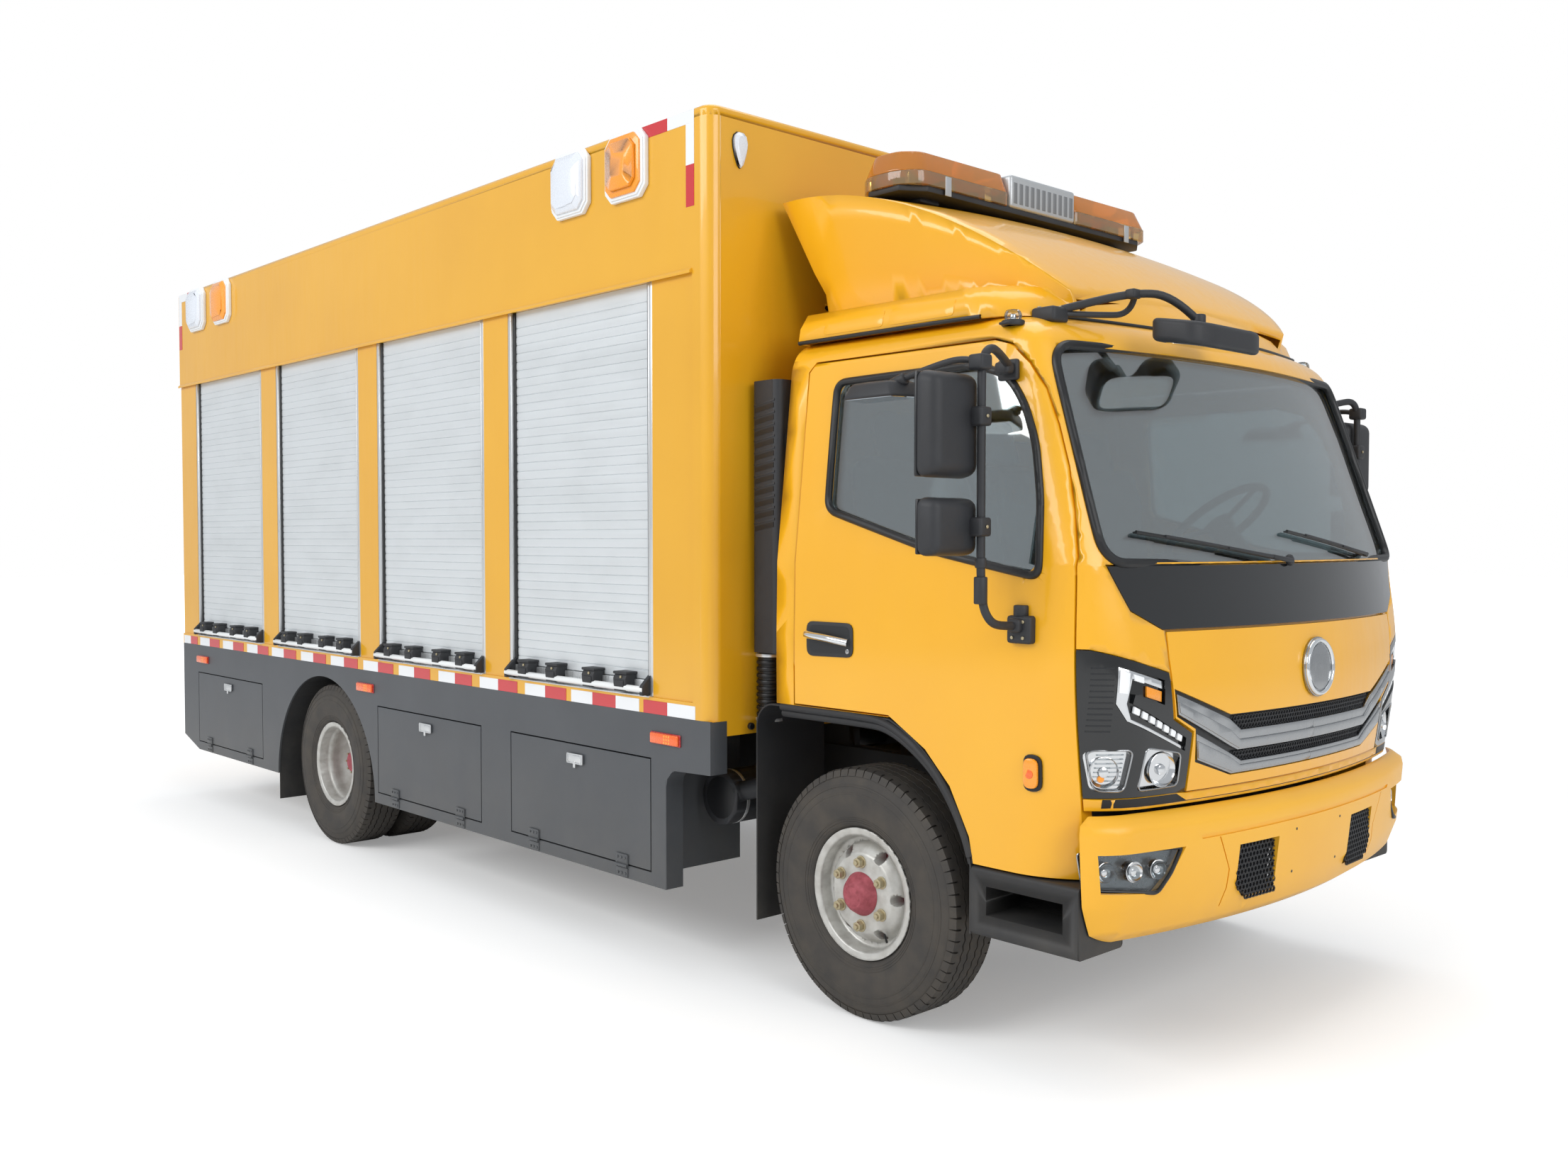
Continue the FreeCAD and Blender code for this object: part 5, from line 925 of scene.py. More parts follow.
def grille():
    """Honeycomb strips between two chrome bars whose wings run up to the lamps, all on the front panel."""
    panel = copy_of(skins["front_panel"])
    opening = [(-0.728, 1.186), (-0.478, 1.094), (0.478, 1.094), (0.728, 1.186), (0.714, 1.102), (0.632, 1.060),
               (0.618, 0.958), (0.446, 0.902), (-0.446, 0.902), (-0.618, 0.958), (-0.632, 1.060), (-0.714, 1.102)]
    carved("front_panel", [opening], panel, 0.0165)
    skins["front_panel"].data.polygons.foreach_set("material_index", [0] * len(skins["front_panel"].data.polygons))
    body, slot = "front_panel_body", "panel_black"
    # A thin black sheet on the floor of the carved opening, behind the honeycomb: painted shade standing for the dark
    # space behind the grille.
    tray = [(y * 0.998, z) for y, z in opening]
    back = draped(tray, panel, -0.0160, 0.002, 0, 0.05)
    dress(back, "grille_tray", "lamp_black", body)
    lips, bright = [], []
    for way in (1, -1):
        upper = [(0.000, 1.043), (-0.424, 1.043), (-0.482, 1.080), (-0.720, 1.170), (-0.710, 1.108), (-0.470, 0.996),
                 (-0.430, 0.980), (0.000, 0.980)]
        lower = [(0.000, 0.944), (-0.404, 0.944), (-0.462, 0.972), (-0.628, 1.046), (-0.612, 0.964), (-0.446, 0.906),
                 (0.000, 0.906)]
        for points in (upper, lower):
            shape = points if way > 0 else flipped(points)
            lips.append(draped(shape, panel, -0.014, 0.0165, 0.0025, 0.06))
        upper_face = [(0.000, 1.012), (-0.428, 1.012), (-0.480, 1.046), (-0.716, 1.146), (-0.709, 1.113), (-0.468, 1.001),
                      (-0.428, 0.984), (0.000, 0.984)]
        lower_face = [(0.000, 0.930), (-0.410, 0.930), (-0.462, 0.958), (-0.624, 1.022), (-0.614, 0.968),
                      (-0.444, 0.910), (0.000, 0.910)]
        for points in (upper_face, lower_face):
            shape = points if way > 0 else flipped(points)
            bright.append(draped(shape, panel, 0.0005, 0.006, 0.0025, 0.06))
    dress(join_up(lips), "grille_bars", "satin_chrome", body)
    dress(join_up(bright), "grille_bar_faces", "satin_chrome", body)
    nets = []
    for points in ([(-0.478, 1.092), (0.478, 1.092), (0.424, 1.044), (-0.424, 1.044)],
                   [(-0.470, 0.980), (0.470, 0.980), (0.408, 0.945), (-0.408, 0.945)]):
        nets.append(honeycomb(points, panel, -0.011))
    dress(join_up(nets), "grille_honeycomb", "plastic", body)
    disc = draped(circle_points(0, 1.212, 0.098), panel, 0.0005, 0.012, 0.004, 0.03)
    dish = draped(circle_points(0, 1.212, 0.074), panel, 0.010, 0.006, 0.003, 0.03)
    ring = pipe([on_front(y, z, 0.013) for y, z in circle_points(0, 1.212, 0.087, 40)], 0.0085, 2, 4, True, 3)
    dress(disc, "front_disc", "satin_chrome", body)
    dress(dish, "front_disc_dish", "satin_chrome", body)
    dress(ring, "front_disc_rim", "chrome", body)
    bpy.data.objects.remove(panel)


def circle_points(y, z, radius, count=48):
    return [(y + radius * math.cos(2 * math.pi * i / count), z + radius * math.sin(2 * math.pi * i / count))
            for i in range(count)]


def dish(middle, out, radius, deep, mat_rim=0.003, far=0.45, sides=36):
    """A round reflector: a cup that opens towards out."""
    middle, out = Vector(middle), Vector(out).normalized()
    bpy.ops.object.select_all(action="DESELECT")
    bpy.ops.mesh.primitive_uv_sphere_add(segments=sides, ring_count=20, radius=radius)
    ob = bpy.context.active_object
    bpy.ops.object.mode_set(mode="EDIT")
    bpy.ops.mesh.select_all(action="SELECT")
    bpy.ops.mesh.bisect(plane_co=(0, 0, -radius * far), plane_no=(0, 0, 1), clear_outer=True)
    bpy.ops.object.mode_set(mode="OBJECT")
    low = -radius
    for vertex in ob.data.vertices:
        vertex.co.z = (vertex.co.z + radius * far) * deep / (radius * (1 - far))
    ob.rotation_euler = out.to_track_quat("Z", "Y").to_euler()
    ob.location = middle
    settle(ob)
    apply_modifier(ob, "SOLIDIFY", thickness=0.0015, offset=0.0)
    return ob


def knob(middle, out, radius, high, sides=24):
    """A rounded button that stands on a face."""
    middle, out = Vector(middle), Vector(out).normalized()
    return bar(middle, middle + out * high, radius, min(high, radius) * 0.45, sides)


def headlamps():
    """Each lamp: a dark housing with carved chambers, chrome bowls, a light strip and clear ribs."""
    piece = smooth_copy("headlamps", "gloss_black")
    piece["look"] = "gloss_black"
    skins["headlamps"] = piece
    whole = copy_of(piece)
    turn = bent([(-0.978, 1.012), (-0.868, 1.012), (-0.880, 0.886), (-0.952, 0.890)], 0.022)
    main = bent([(-0.826, 1.016), (-0.686, 0.990), (-0.684, 0.890), (-0.838, 0.886)], 0.020)
    strip = [(-0.920, 1.262), (-0.765, 1.212), (-0.765, 1.140), (-0.872, 1.176), (-0.878, 1.150), (-0.668, 1.036),
             (-0.668, 0.996), (-0.890, 1.096), (-0.924, 1.150)]
    chambers = [turn, main, strip]
    carved("headlamps", chambers + [flipped(points) for points in chambers], whole, 0.0150)
    floors, silver, guide, amber = [], [], [], []
    for points in (turn, main):
        floors.append(draped(points, whole, -0.0148, 0.0012, 0, 0.04))
    silver.append(draped([(-0.918, 1.258), (-0.768, 1.209), (-0.768, 1.186), (-0.878, 1.222), (-0.892, 1.150),
                          (-0.878, 1.104), (-0.670, 1.008), (-0.670, 0.998), (-0.888, 1.098), (-0.921, 1.150)], whole,
                         -0.0145, 0.008, 0.002, 0.04))
    amber.append(draped([(-0.830, 1.198), (-0.772, 1.180), (-0.772, 1.148), (-0.830, 1.166)], whole, -0.0145, 0.008, 0.002))
    for i in range(7):
        share = i / 6.4
        y, z = -0.862 + 0.182 * share, 1.132 - 0.094 * share
        guide.append(draped([(y - 0.010, z + 0.010), (y + 0.010, z), (y + 0.008, z - 0.020), (y - 0.012, z - 0.011)],
                            whole, -0.0145, 0.0125, 0.003, 0.02))
    guide.append(draped([(-0.914, 1.250), (-0.884, 1.240), (-0.890, 1.178), (-0.916, 1.182)], whole, -0.0145, 0.0110, 0.002))
    guide.append(draped([(-0.876, 1.236), (-0.840, 1.225), (-0.840, 1.206), (-0.872, 1.216)], whole, -0.0145, 0.0110, 0.002))
    for points, radius, at in ((turn, 0.052, (-0.935, 0.945)), (main, 0.058, (-0.752, 0.944))):
        middle = cast([whole], (4.5, *at), (-1, 0, 0))
        out = Vector((1.0, at[0] * 0.75 if radius < 0.055 else -0.25, 0))
        silver.append(dish(middle - out.normalized() * 0.002, out, radius, 0.030))
        silver.append(knob(middle - out.normalized() * 0.024, out, 0.017, 0.022))
    ribs = []
    for i in range(9):
        z = 0.892 + 0.0130 * i
        ribs.append(draped([(-0.950, z + 0.003), (-0.884, z + 0.003), (-0.884, z), (-0.950, z)], whole, -0.0135, 0.003, 0, 0.04))
    bulb_at = cast([whole], (4.5, -0.938, 0.925), (-1, 0, 0))
    amber.append(knob(bulb_at - Vector((0.012, -0.008, 0)), (1, -0.7, 0), 0.011, 0.012, 20))
    fins = [draped([(-0.984, 1.070 + 0.017 * i), (-0.935, 1.070 + 0.017 * i), (-0.935, 1.066 + 0.017 * i),
                    (-0.984, 1.066 + 0.017 * i)], whole, 0.0002, 0.0015, 0, 0.03) for i in range(12)]
    rims = [pipe([cast([whole], (4.5, y, z), (-1, 0, 0)) for y, z in points], 0.003, 2, 3, True, 3) for points in (turn, main)]
    for name, pieces, mat in (("lamp_bowls", silver, "reflector"), ("lamp_floors", floors, "reflector"),
                              ("lamp_light_guides", guide, "light_guide"), ("lamp_amber", amber, "amber_lens"),
                              ("lamp_ribs", ribs, "clear_cover"), ("lamp_fins", fins, "lamp_black"),
                              ("lamp_rims", rims, "satin_chrome")):
        both_sides(join_up(pieces), name, mat, ROOT)
    bpy.data.objects.remove(whole)


def seals():
    """Rubber round the windscreen, the door windows and the rear cab window, and a black strip of painted shadow in the
    gap over the bumper.
    """
    shell = ("cab_shell",)
    rim = bent(WINDSCREEN, 0.085)
    middle = Vector((0, 1.89))
    path = []
    for a, b in zip(rim, rim[1:] + rim[:1]):
        for share in (0.0, 0.5) if (Vector(b) - Vector(a)).length > 0.2 else (0.0,):
            spot = Vector(a).lerp(Vector(b), share)
            away = (spot - middle).normalized() * 0.010
            path.append(on_front(spot.x + math.copysign(0.008, spot.x), spot.y + away.y, 0.001, shell))
    dress(pipe(path, 0.015, 6, 4, True, 3), "windscreen_seal", "seal", ROOT)
    rim = bent(DOOR_WINDOW, 0.045)
    middle = Vector((2.7, 1.85))
    path = []
    for spot in rim:
        away = (Vector(spot) - middle).normalized() * 0.009
        path.append(on_side(spot[0] + away.x, spot[1] + away.y, 0.001, ("cab_door_right",)))
    ring = pipe(path, 0.013, 4, 4, True, 3)
    both_sides(ring, "door_window_seal", "seal", "cab_door_{side}_body")
    rear_rim = bent([(-0.476, 1.634), (0.476, 1.634), (0.476, 2.046), (-0.476, 2.046)], 0.06)
    ring = pipe([(2.000, y, z) for y, z in rear_rim], 0.010, 4, 4, True, 3)
    dress(ring, "rear_window_seal", "seal", ROOT)
    # A thin black strip laid on the cab's face along the bumper's top, in the rubber's material: painted shadow in the
    # gap between bumper and cab.
    strip = draped([(-0.930, 0.8645), (0.930, 0.8645), (0.930, 0.8380), (-0.930, 0.8380)], skins["cab_shell"], 0.0004, 0.0012)
    dress(strip, "bumper_gap_strip", "seal", ROOT)


def wipers():
    """Two arms that pivot in the cowl, each with its bridge and rubber blade."""
    arms, blades, caps = [], [], []
    for pivot, tip, hold in (((-0.110, 1.560), (-0.800, 1.650), 0.47), ((0.640, 1.562), (-0.060, 1.655), 0.47)):
        base = on_front(*pivot, 0.006)
        caps.append(knob(base - Vector((0.004, 0, 0)), (1, 0, 0.2), 0.019, 0.020))
        start, end = Vector(pivot), Vector(tip)
        grip = start.lerp(end, hold)
        near = on_front(*start.lerp(grip, 0.35), 0.034, ("cab_shell", "cowl_panel", "cab_glass"))
        hook = on_front(*grip, 0.030, ("cab_shell", "cab_glass"))
        arms.append(bar(base + Vector((0.012, 0, 0)), near, 0.009, 0.001, 12, 0.007))
        arms.append(bar(near, hook, 0.006, 0.001, 12, 0.004))
        path = [on_front(*start.lerp(end, share), 0.017, ("cab_shell", "cab_glass")) for share in
                (0.10, 0.25, 0.40, 0.55, 0.70, 0.85, 1.0)]
        blades.append(pipe(path, 0.006, 4, 2))
        blades.append(pipe([spot - Vector((0.009, 0, 0.001)) for spot in path], 0.0032, 4, 2))
        arms.append(pipe([spot + Vector((0.008, 0, 0.002)) for spot in path[1:6]], 0.0045, 4, 2))
    dress(join_up(arms), "wiper_arms", "plastic", ROOT)
    dress(join_up(blades), "wiper_blades", "seal", ROOT)
    dress(join_up(caps), "wiper_caps", "plastic", ROOT)


def bumper_details():
    """Mesh inserts with black plates of painted shade behind them, fog lamps, a groove, black discs of painted shade
    for the plate's bolt holes, and the split lines of the bumper.
    """
    body, slot = ROOT, "black_plastic"
    bare = copy_of(skins["front_bumper"])
    form = ("front_bumper",)
    net = [(-0.458, 0.694), (-0.458, 0.560), (-0.402, 0.512), (-0.246, 0.512), (-0.246, 0.694)]
    backs, nets = [], []
    # Flat black plates behind the mesh: painted shade standing for the dark space behind its openings.
    for way in (1, -1):
        points = net if way > 0 else flipped(net)
        spots = [(3.445 if abs(y) > 0.3 else 3.455, y, z) for y, z in points]
        backs.append(outline(spots, (0.004, 0, 0)))
    dress(join_up(backs), "bumper_mesh_backs", "lamp_black", body)
    plane = outline([(3.4705, -0.60, 0.45), (3.4985, -0.20, 0.45), (3.5085, 0, 0.45), (3.4985, 0.20, 0.45),
                     (3.4705, 0.60, 0.45), (3.46, 0.60, 0.45), (3.49, 0, 0.45), (3.46, -0.60, 0.45)], (0, 0, 0.30))
    for way in (1, -1):
        nets.append(honeycomb(net if way > 0 else flipped(net), plane, -0.014, 0.0185, 0.0028, 0.007))
    bpy.data.objects.remove(plane)
    dress(join_up(nets), "bumper_honeycomb", "plastic", body)

    lamp = bent([(-0.996, 0.712), (-0.704, 0.712), (-0.748, 0.640), (-0.802, 0.588), (-0.982, 0.602)], 0.016)
    spots = [(3.4305 - 0.20 * (abs(y) - 0.70) ** 1.0 - 0.55 * max(0, abs(y) - 0.84), y, z) for y, z in lamp]
    back = outline([(x - 0.030, y, z) for x, y, z in spots], (0.004, 0, 0))
    both_sides(back, "fog_lamp_backs", "satin_chrome", body)
    cover = outline([(x - 0.004, y, z) for x, y, z in spots], (0.0025, 0, 0))
    both_sides(cover, "fog_lamp_covers", "clear_cover", body)
    rim = pipe([(x, y, z) for x, y, z in spots], 0.006, 2, 3, True, 2)
    both_sides(rim, "fog_lamp_rims", "lamp_black", body)
    bowls = []
    for y in (-0.785, -0.865, -0.935):
        middle = (3.4305 - 0.20 * (abs(y) - 0.70) - 0.55 * max(0, abs(y) - 0.84) - 0.012, y, 0.652)
        bowls.append(dish(middle, (1, y * 0.35, 0), 0.034, 0.018))
        bowls.append(knob(Vector(middle) - Vector((0.014, 0, 0)), (1, y * 0.35, 0), 0.012, 0.016))
    both_sides(join_up(bowls), "fog_lamp_bowls", "reflector", body)

    groove = [(-0.640, 0.742), (-0.240, 0.748), (0.240, 0.748), (0.640, 0.742), (0.632, 0.730), (0.240, 0.734),
              (-0.240, 0.734), (-0.632, 0.730)]
    split = [(-0.556, 0.728), (-0.551, 0.728), (-0.492, 0.618), (-0.500, 0.500), (-0.505, 0.500), (-0.4975, 0.620)]
    plate = [(-0.232, 0.716), (0.232, 0.716), (0.232, 0.712), (-0.232, 0.712)]
    corner = [(-0.998, 0.760), (-0.650, 0.742), (-0.652, 0.738), (-0.998, 0.756)]
    for points in (groove, split, flipped(split)):
        carved("front_bumper", [points], bare, 0.0045, 0.08)
    # Black discs sunk all but 0.6 mm into the bumper's face: painted shade standing for the plate's bolt holes.
    holes = []
    for y in (-0.150, 0.150):
        for z in (0.560, 0.700):
            spot = on_front(y, z, 0, form)
            holes.append(bar(spot - Vector((0.004, 0, 0)), spot + Vector((0.0006, 0, 0)), 0.0045, 0, 16))
    dress(join_up(holes), "plate_holes", "lamp_black", body)
    bpy.data.objects.remove(bare)


for key in ("front_panel", "front_bumper"):
    skins[key]["look"] = "cab_enamel" if key == "front_panel" else "bumper"
grille()
headlamps()
seals()
wipers()
bumper_details()


# ---------------------------------------------------------------- wheels and tyres

def hub_of(node):
    """The middle of a turned node, and its radius."""
    low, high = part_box(node)
    return (low + high) / 2, (high.z - low.z) / 2


def lathe(profile, middle, steps=96):
    """A closed section of (out from the middle, radius) points turned about the axle, for the right-hand side."""
    bpy.ops.object.select_all(action="DESELECT")
    bpy.ops.mesh.primitive_circle_add(vertices=len(profile), fill_type="NOTHING")
    ob = bpy.context.active_object
    for vertex, (out, radius) in zip(ob.data.vertices, profile):
        vertex.co = (0, -out, radius)
    ob.location = middle
    apply_modifier(ob, "SCREW", axis="Y", steps=steps, render_steps=steps, use_merge_vertices=True, merge_threshold=0.0001)
    return recalculate(settle(ob))


def ringed(ob, middle, count):
    """A piece repeated evenly round the axle."""
    turn = Matrix.Rotation(2 * math.pi / count, 4, "Y")
    bpy.ops.object.select_all(action="DESELECT")
    bpy.ops.object.empty_add(location=middle - turn @ middle, rotation=(0, 2 * math.pi / count, 0))
    turner = bpy.context.active_object
    bpy.context.view_layer.update()
    apply_modifier(ob, "ARRAY", count=count, use_relative_offset=False, use_object_offset=True, offset_object=turner)
    bpy.data.objects.remove(turner)
    return ob


TREAD_PITCHES = 70


def tread(middle, radius):
    """One pitch of the tread, five ribs with zigzag grooves between and notched shoulders, run round the tyre."""
    half = math.pi * radius / TREAD_PITCHES
    blocks = []
    for start, end in ((-0.0495, -0.0225), (-0.0165, 0.0165), (0.0225, 0.0495)):
        edge = [(-half, start + 0.003), (0, start - 0.003), (half, start + 0.003), (half, end + 0.003),
                (0, end - 0.003), (-half, end + 0.003)]
        spots = [(middle.x + s, middle.y + y, middle.z + radius - 0.0005) for s, y in edge]
        blocks.append(outline(spots, (0, 0, -0.010)))
    for way in (1, -1):
        inner = 0.0555
        edge = [(-half, inner + 0.003 * way), (0, inner - 0.003 * way), (half, inner + 0.003 * way), (half, 0.074),
                (half - 0.0026, 0.076), (half - 0.0026, 0.0850), (half - 0.0026, 0.0950), (-half + 0.0026, 0.0950),
                (-half + 0.0026, 0.0850), (-half + 0.0026, 0.076), (-half, 0.074)]
        top = middle.z + radius - 0.0005
        spots = [(middle.x + s, middle.y + way * y, top - (0.005 if y > 0.09 else 0)) for s, y in edge]
        block = outline(spots, (0, 0, -0.022))
        for vertex in block.data.vertices:
            if abs(vertex.co.y - middle.y) > 0.09 and vertex.co.z < top - 0.02:
                vertex.co.y += way * 0.0085
        blocks.append(block)
    return ringed(join_up(blocks), middle, TREAD_PITCHES)


def tyre(node):
    """A tyre body with fine rings by the rim and a scuff rib, and its tread."""
    middle, radius = hub_of(node)
    if node.startswith("rear"):
        middle = Vector((middle.x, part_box(node)[0].y + 0.1175, middle.z))
    side = [(0.0800, 0.2060), (0.0860, 0.2265), (0.0985, 0.2355), (0.1008, 0.2400), (0.1020, 0.2405), (0.1030, 0.2440),
            (0.1020, 0.2445), (0.1036, 0.2480), (0.1052, 0.2485), (0.1060, 0.2520), (0.1050, 0.2525), (0.1066, 0.2570),
            (0.1080, 0.2575), (0.1086, 0.2605), (0.1074, 0.2610), (0.1136, 0.2900), (0.1162, 0.3180), (0.1160, 0.3400),
            (0.1170, 0.3410), (0.1164, 0.3450), (0.1152, 0.3460), (0.1134, 0.3655), (0.1150, 0.3665), (0.1126, 0.3720),
            (0.1112, 0.3725), (0.1060, 0.3900), (0.0985, 0.4050), (0.0880, 0.4150), (0.0790, 0.4178), (0.0300, 0.4180)]
    body = lathe(side + [(-out, up) for out, up in reversed(side)], middle)
    whole = join_up([body, tread(middle, radius)])
    return whole, middle


def wheel_nut(middle, out, radius, tall):
    """A hexagon nut on its washer, with the stud's end."""
    spot = middle + Vector((0, -out, radius))
    washer = bar(spot, spot - Vector((0, 0.004, 0)), 0.0215, 0.001)
    nut = bar(spot - Vector((0, 0.004, 0)), spot - Vector((0, 0.004 + tall, 0)), 0.0175, 0.0015, 6)
    stud = bar(spot, spot - Vector((0, tall + 0.012, 0)), 0.0085, 0.001, 16)
    return join_up([washer, nut, stud])


def wheels():
    whole, middle = tyre("front_tyre_right")
    nuts = ringed(wheel_nut(middle, 0.0905, 0.109, 0.020), middle, 6)
    cap = lathe([(0.0905, 0.0735), (0.0925, 0.0745), (0.1215, 0.0570), (0.1348, 0.0415), (0.1348, 0.0340),
                 (0.1337, 0.0325), (0.1337, 0.0), (0.0905, 0.0)], middle, 48)
    drum = lathe([(0.012, 0.131), (0.024, 0.131), (0.024, 0.172), (0.012, 0.172)], middle, 48)
    valve = bar(middle + Vector((0.10, -0.070, -0.150)), middle + Vector((0.105, -0.088, -0.118)), 0.004, 0.001, 12)
    body = BODY_OF["front_rim_right"].replace("right", "{side}")
    for piece, name, mat, slot in ((whole, "front_tyre_rubber", "tyre", "tyre_rubber"),
                                   (nuts, "front_wheel_nuts", "zinc", "wheel_silver"),
                                   (cap, "front_hub_cap", "hub_red", "wheel_silver"),
                                   (drum, "front_brake_drum", "hub_red", "wheel_silver"),
                                   (valve, "front_tyre_valve", "seal", "tyre_rubber")):
        pair = both_sides(piece, name, mat, body)
        if mat == "tyre":
            for rubber, (side, _) in zip(pair, reversed(SIDES)):
                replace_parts(rubber, f"front_tyre_{side}")
    outer, middle = tyre("rear_tyres_right")
    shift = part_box("rear_tyres_right")[1].y - 0.1175 - middle.y
    both = join_up([outer, copy_of(outer, (0, shift, 0))])
    nuts = ringed(wheel_nut(middle, -0.1235, 0.100, 0.022), middle, 6)
    cap = lathe([(-0.1225, 0.0735), (-0.1205, 0.0755), (-0.0195, 0.0680), (0.0020, 0.0495), (0.0020, 0.0360),
                 (0.0007, 0.0340), (0.0007, 0.0), (-0.1225, 0.0)], middle, 48)
    studs = ringed(bar(middle + Vector((0, 0.004, 0.056)), middle + Vector((0, -0.006, 0.056)), 0.0055, 0.001, 6), middle, 8)
    body = BODY_OF["rear_rims_right"].replace("right", "{side}")
    for piece, name, mat, slot in ((both, "rear_tyre_rubber", "tyre", "tyre_rubber"),
                                   (nuts, "rear_wheel_nuts", "zinc", "wheel_silver"),
                                   (cap, "rear_hub_cap", "hub_red", "wheel_silver"),
                                   (studs, "rear_hub_bolts", "zinc", "wheel_silver")):
        pair = both_sides(piece, name, mat, body)
        if mat == "tyre":
            for rubber, (side, _) in zip(pair, reversed(SIDES)):
                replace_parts(rubber, f"rear_tyres_{side}")


wheels()


# ---------------------------------------------------------------- mirrors

def housing(low, high, round_off, face_share):
    """A mirror housing: a box with large round corners, smaller towards its front."""
    ob = brick(low, high, 0)
    middle = (Vector(low) + Vector(high)) / 2
    for vertex in ob.data.vertices:
        if vertex.co.x > middle.x:
            vertex.co.y = middle.y + (vertex.co.y - middle.y) * face_share
            vertex.co.z = middle.z + (vertex.co.z - middle.z) * face_share
    return soften(ob, round_off, 5, 20)


def side_mirrors():
    """The kerb side's tube with its two rounded heads, kerb mirror, clamps and brackets; the other is its twin."""
    body, slot = BODY_OF["mirror_right"].replace("right", "{side}"), "black_plastic"
    tube = pipe([(3.085, -1.030, 1.372), (3.085, -1.120, 1.372), (3.080, -1.180, 1.385), (3.066, -1.205, 1.450),
                 (3.066, -1.205, 1.700), (3.066, -1.205, 2.060), (3.066, -1.203, 2.150), (3.064, -1.170, 2.188),
                 (3.050, -1.110, 2.185), (2.998, -0.985, 2.150)], 0.0128, 5, 6)
    heads = [housing((2.966, -1.394, 1.801), (3.048, -1.173, 2.119), 0.032, 0.90),
             housing((2.970, -1.392, 1.577), (3.046, -1.176, 1.753), 0.028, 0.90)]
    frames = [brick((2.9655, -1.386, 1.809), (2.976, -1.181, 2.111), 0.004),
              brick((2.9690, -1.384, 1.585), (2.979, -1.184, 1.745), 0.004)]
    panes = [brick((2.9645, -1.378, 1.817), (2.968, -1.189, 2.103), 0.001),
             brick((2.9680, -1.376, 1.593), (2.972, -1.192, 1.737), 0.001)]
    clamps = [brick((3.036, -1.232, z - 0.028), (3.088, -1.180, z + 0.028), 0.009, 3) for z in (1.985, 1.665)]
    clamps += [brick((2.952, -0.991, 2.112), (3.026, -0.970, 2.176), 0.008, 3),
               brick((2.968, -1.030, 2.128), (3.020, -0.985, 2.166), 0.012, 3)]
    clamps += [brick((3.046, -1.061, 1.318), (3.134, -1.002, 1.402), 0.010, 3),
               bar((3.085, -1.036, 1.396), (3.085, -1.036, 1.433), 0.024, 0.005),
               brick((3.062, -1.082, 1.352), (3.108, -1.040, 1.394), 0.010, 3)]
    clamps.append(bar((3.066, -1.205, 1.440), (3.066, -1.205, 1.520), 0.020, 0.004))
    clamps.append(bar((3.066, -1.205, 1.545), (3.066, -1.205, 1.575), 0.017, 0.003))
    bolts = [knob((2.972 + 0.034 * i, -0.991, 2.144), (0, -1, 0), 0.0065, 0.005, 6) for i in range(2)]
    bolts += [knob((3.070 + 0.040 * i, -1.061, z), (0, -1, 0), 0.006, 0.005, 6) for i in range(2) for z in (1.336, 1.384)]
    bolts += [knob((3.088, -1.206, z), (1, 0, 0), 0.006, 0.005, 6) for z in (1.985, 1.665)]
    kerb = outline([(2.830, -1.172, 2.060), (2.800, -1.300, 2.060), (2.700, -1.318, 2.056), (2.590, -1.300, 2.060),
                    (2.562, -1.172, 2.060)], (0, 0, 0.050))
    for vertex in kerb.data.vertices:
        if vertex.co.z > 2.08:
            vertex.co.x, vertex.co.y = 2.696 + (vertex.co.x - 2.696) * 0.78, -1.240 + (vertex.co.y + 1.240) * 0.7
    soften(kerb, 0.012, 4, 25)
    kerb_pane = outline([(2.818, -1.182, 2.0585), (2.790, -1.290, 2.0585), (2.700, -1.308, 2.0555),
                         (2.600, -1.290, 2.0585), (2.574, -1.182, 2.0585)], (0, 0, 0.002))
    arm = pipe([(3.066, -1.206, 2.140), (3.020, -1.212, 2.158), (2.920, -1.220, 2.150), (2.780, -1.238, 2.112)], 0.010, 5, 5)
    arm = join_up([arm, bar((2.800, -1.236, 2.116), (2.745, -1.240, 2.098), 0.019, 0.005),
                   brick((3.038, -1.236, 2.118), (3.092, -1.184, 2.164), 0.009, 3)])
    for piece, name, mat in ((tube, "mirror_tube", "plastic"), (join_up(heads + [kerb]), "mirror_housings", "plastic"),
                             (join_up(frames), "mirror_frames", "lamp_black"),
                             (join_up(panes + [kerb_pane]), "mirror_glass", "mirror"),
                             (join_up(clamps + [arm]), "mirror_clamps", "plastic"),
                             (join_up(bolts), "mirror_bolts", "zinc")):
        for piece_side, (side, _) in zip(both_sides(piece, name, mat, body, 40), reversed(SIDES)):
            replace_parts(piece_side, f"mirror_{side}")


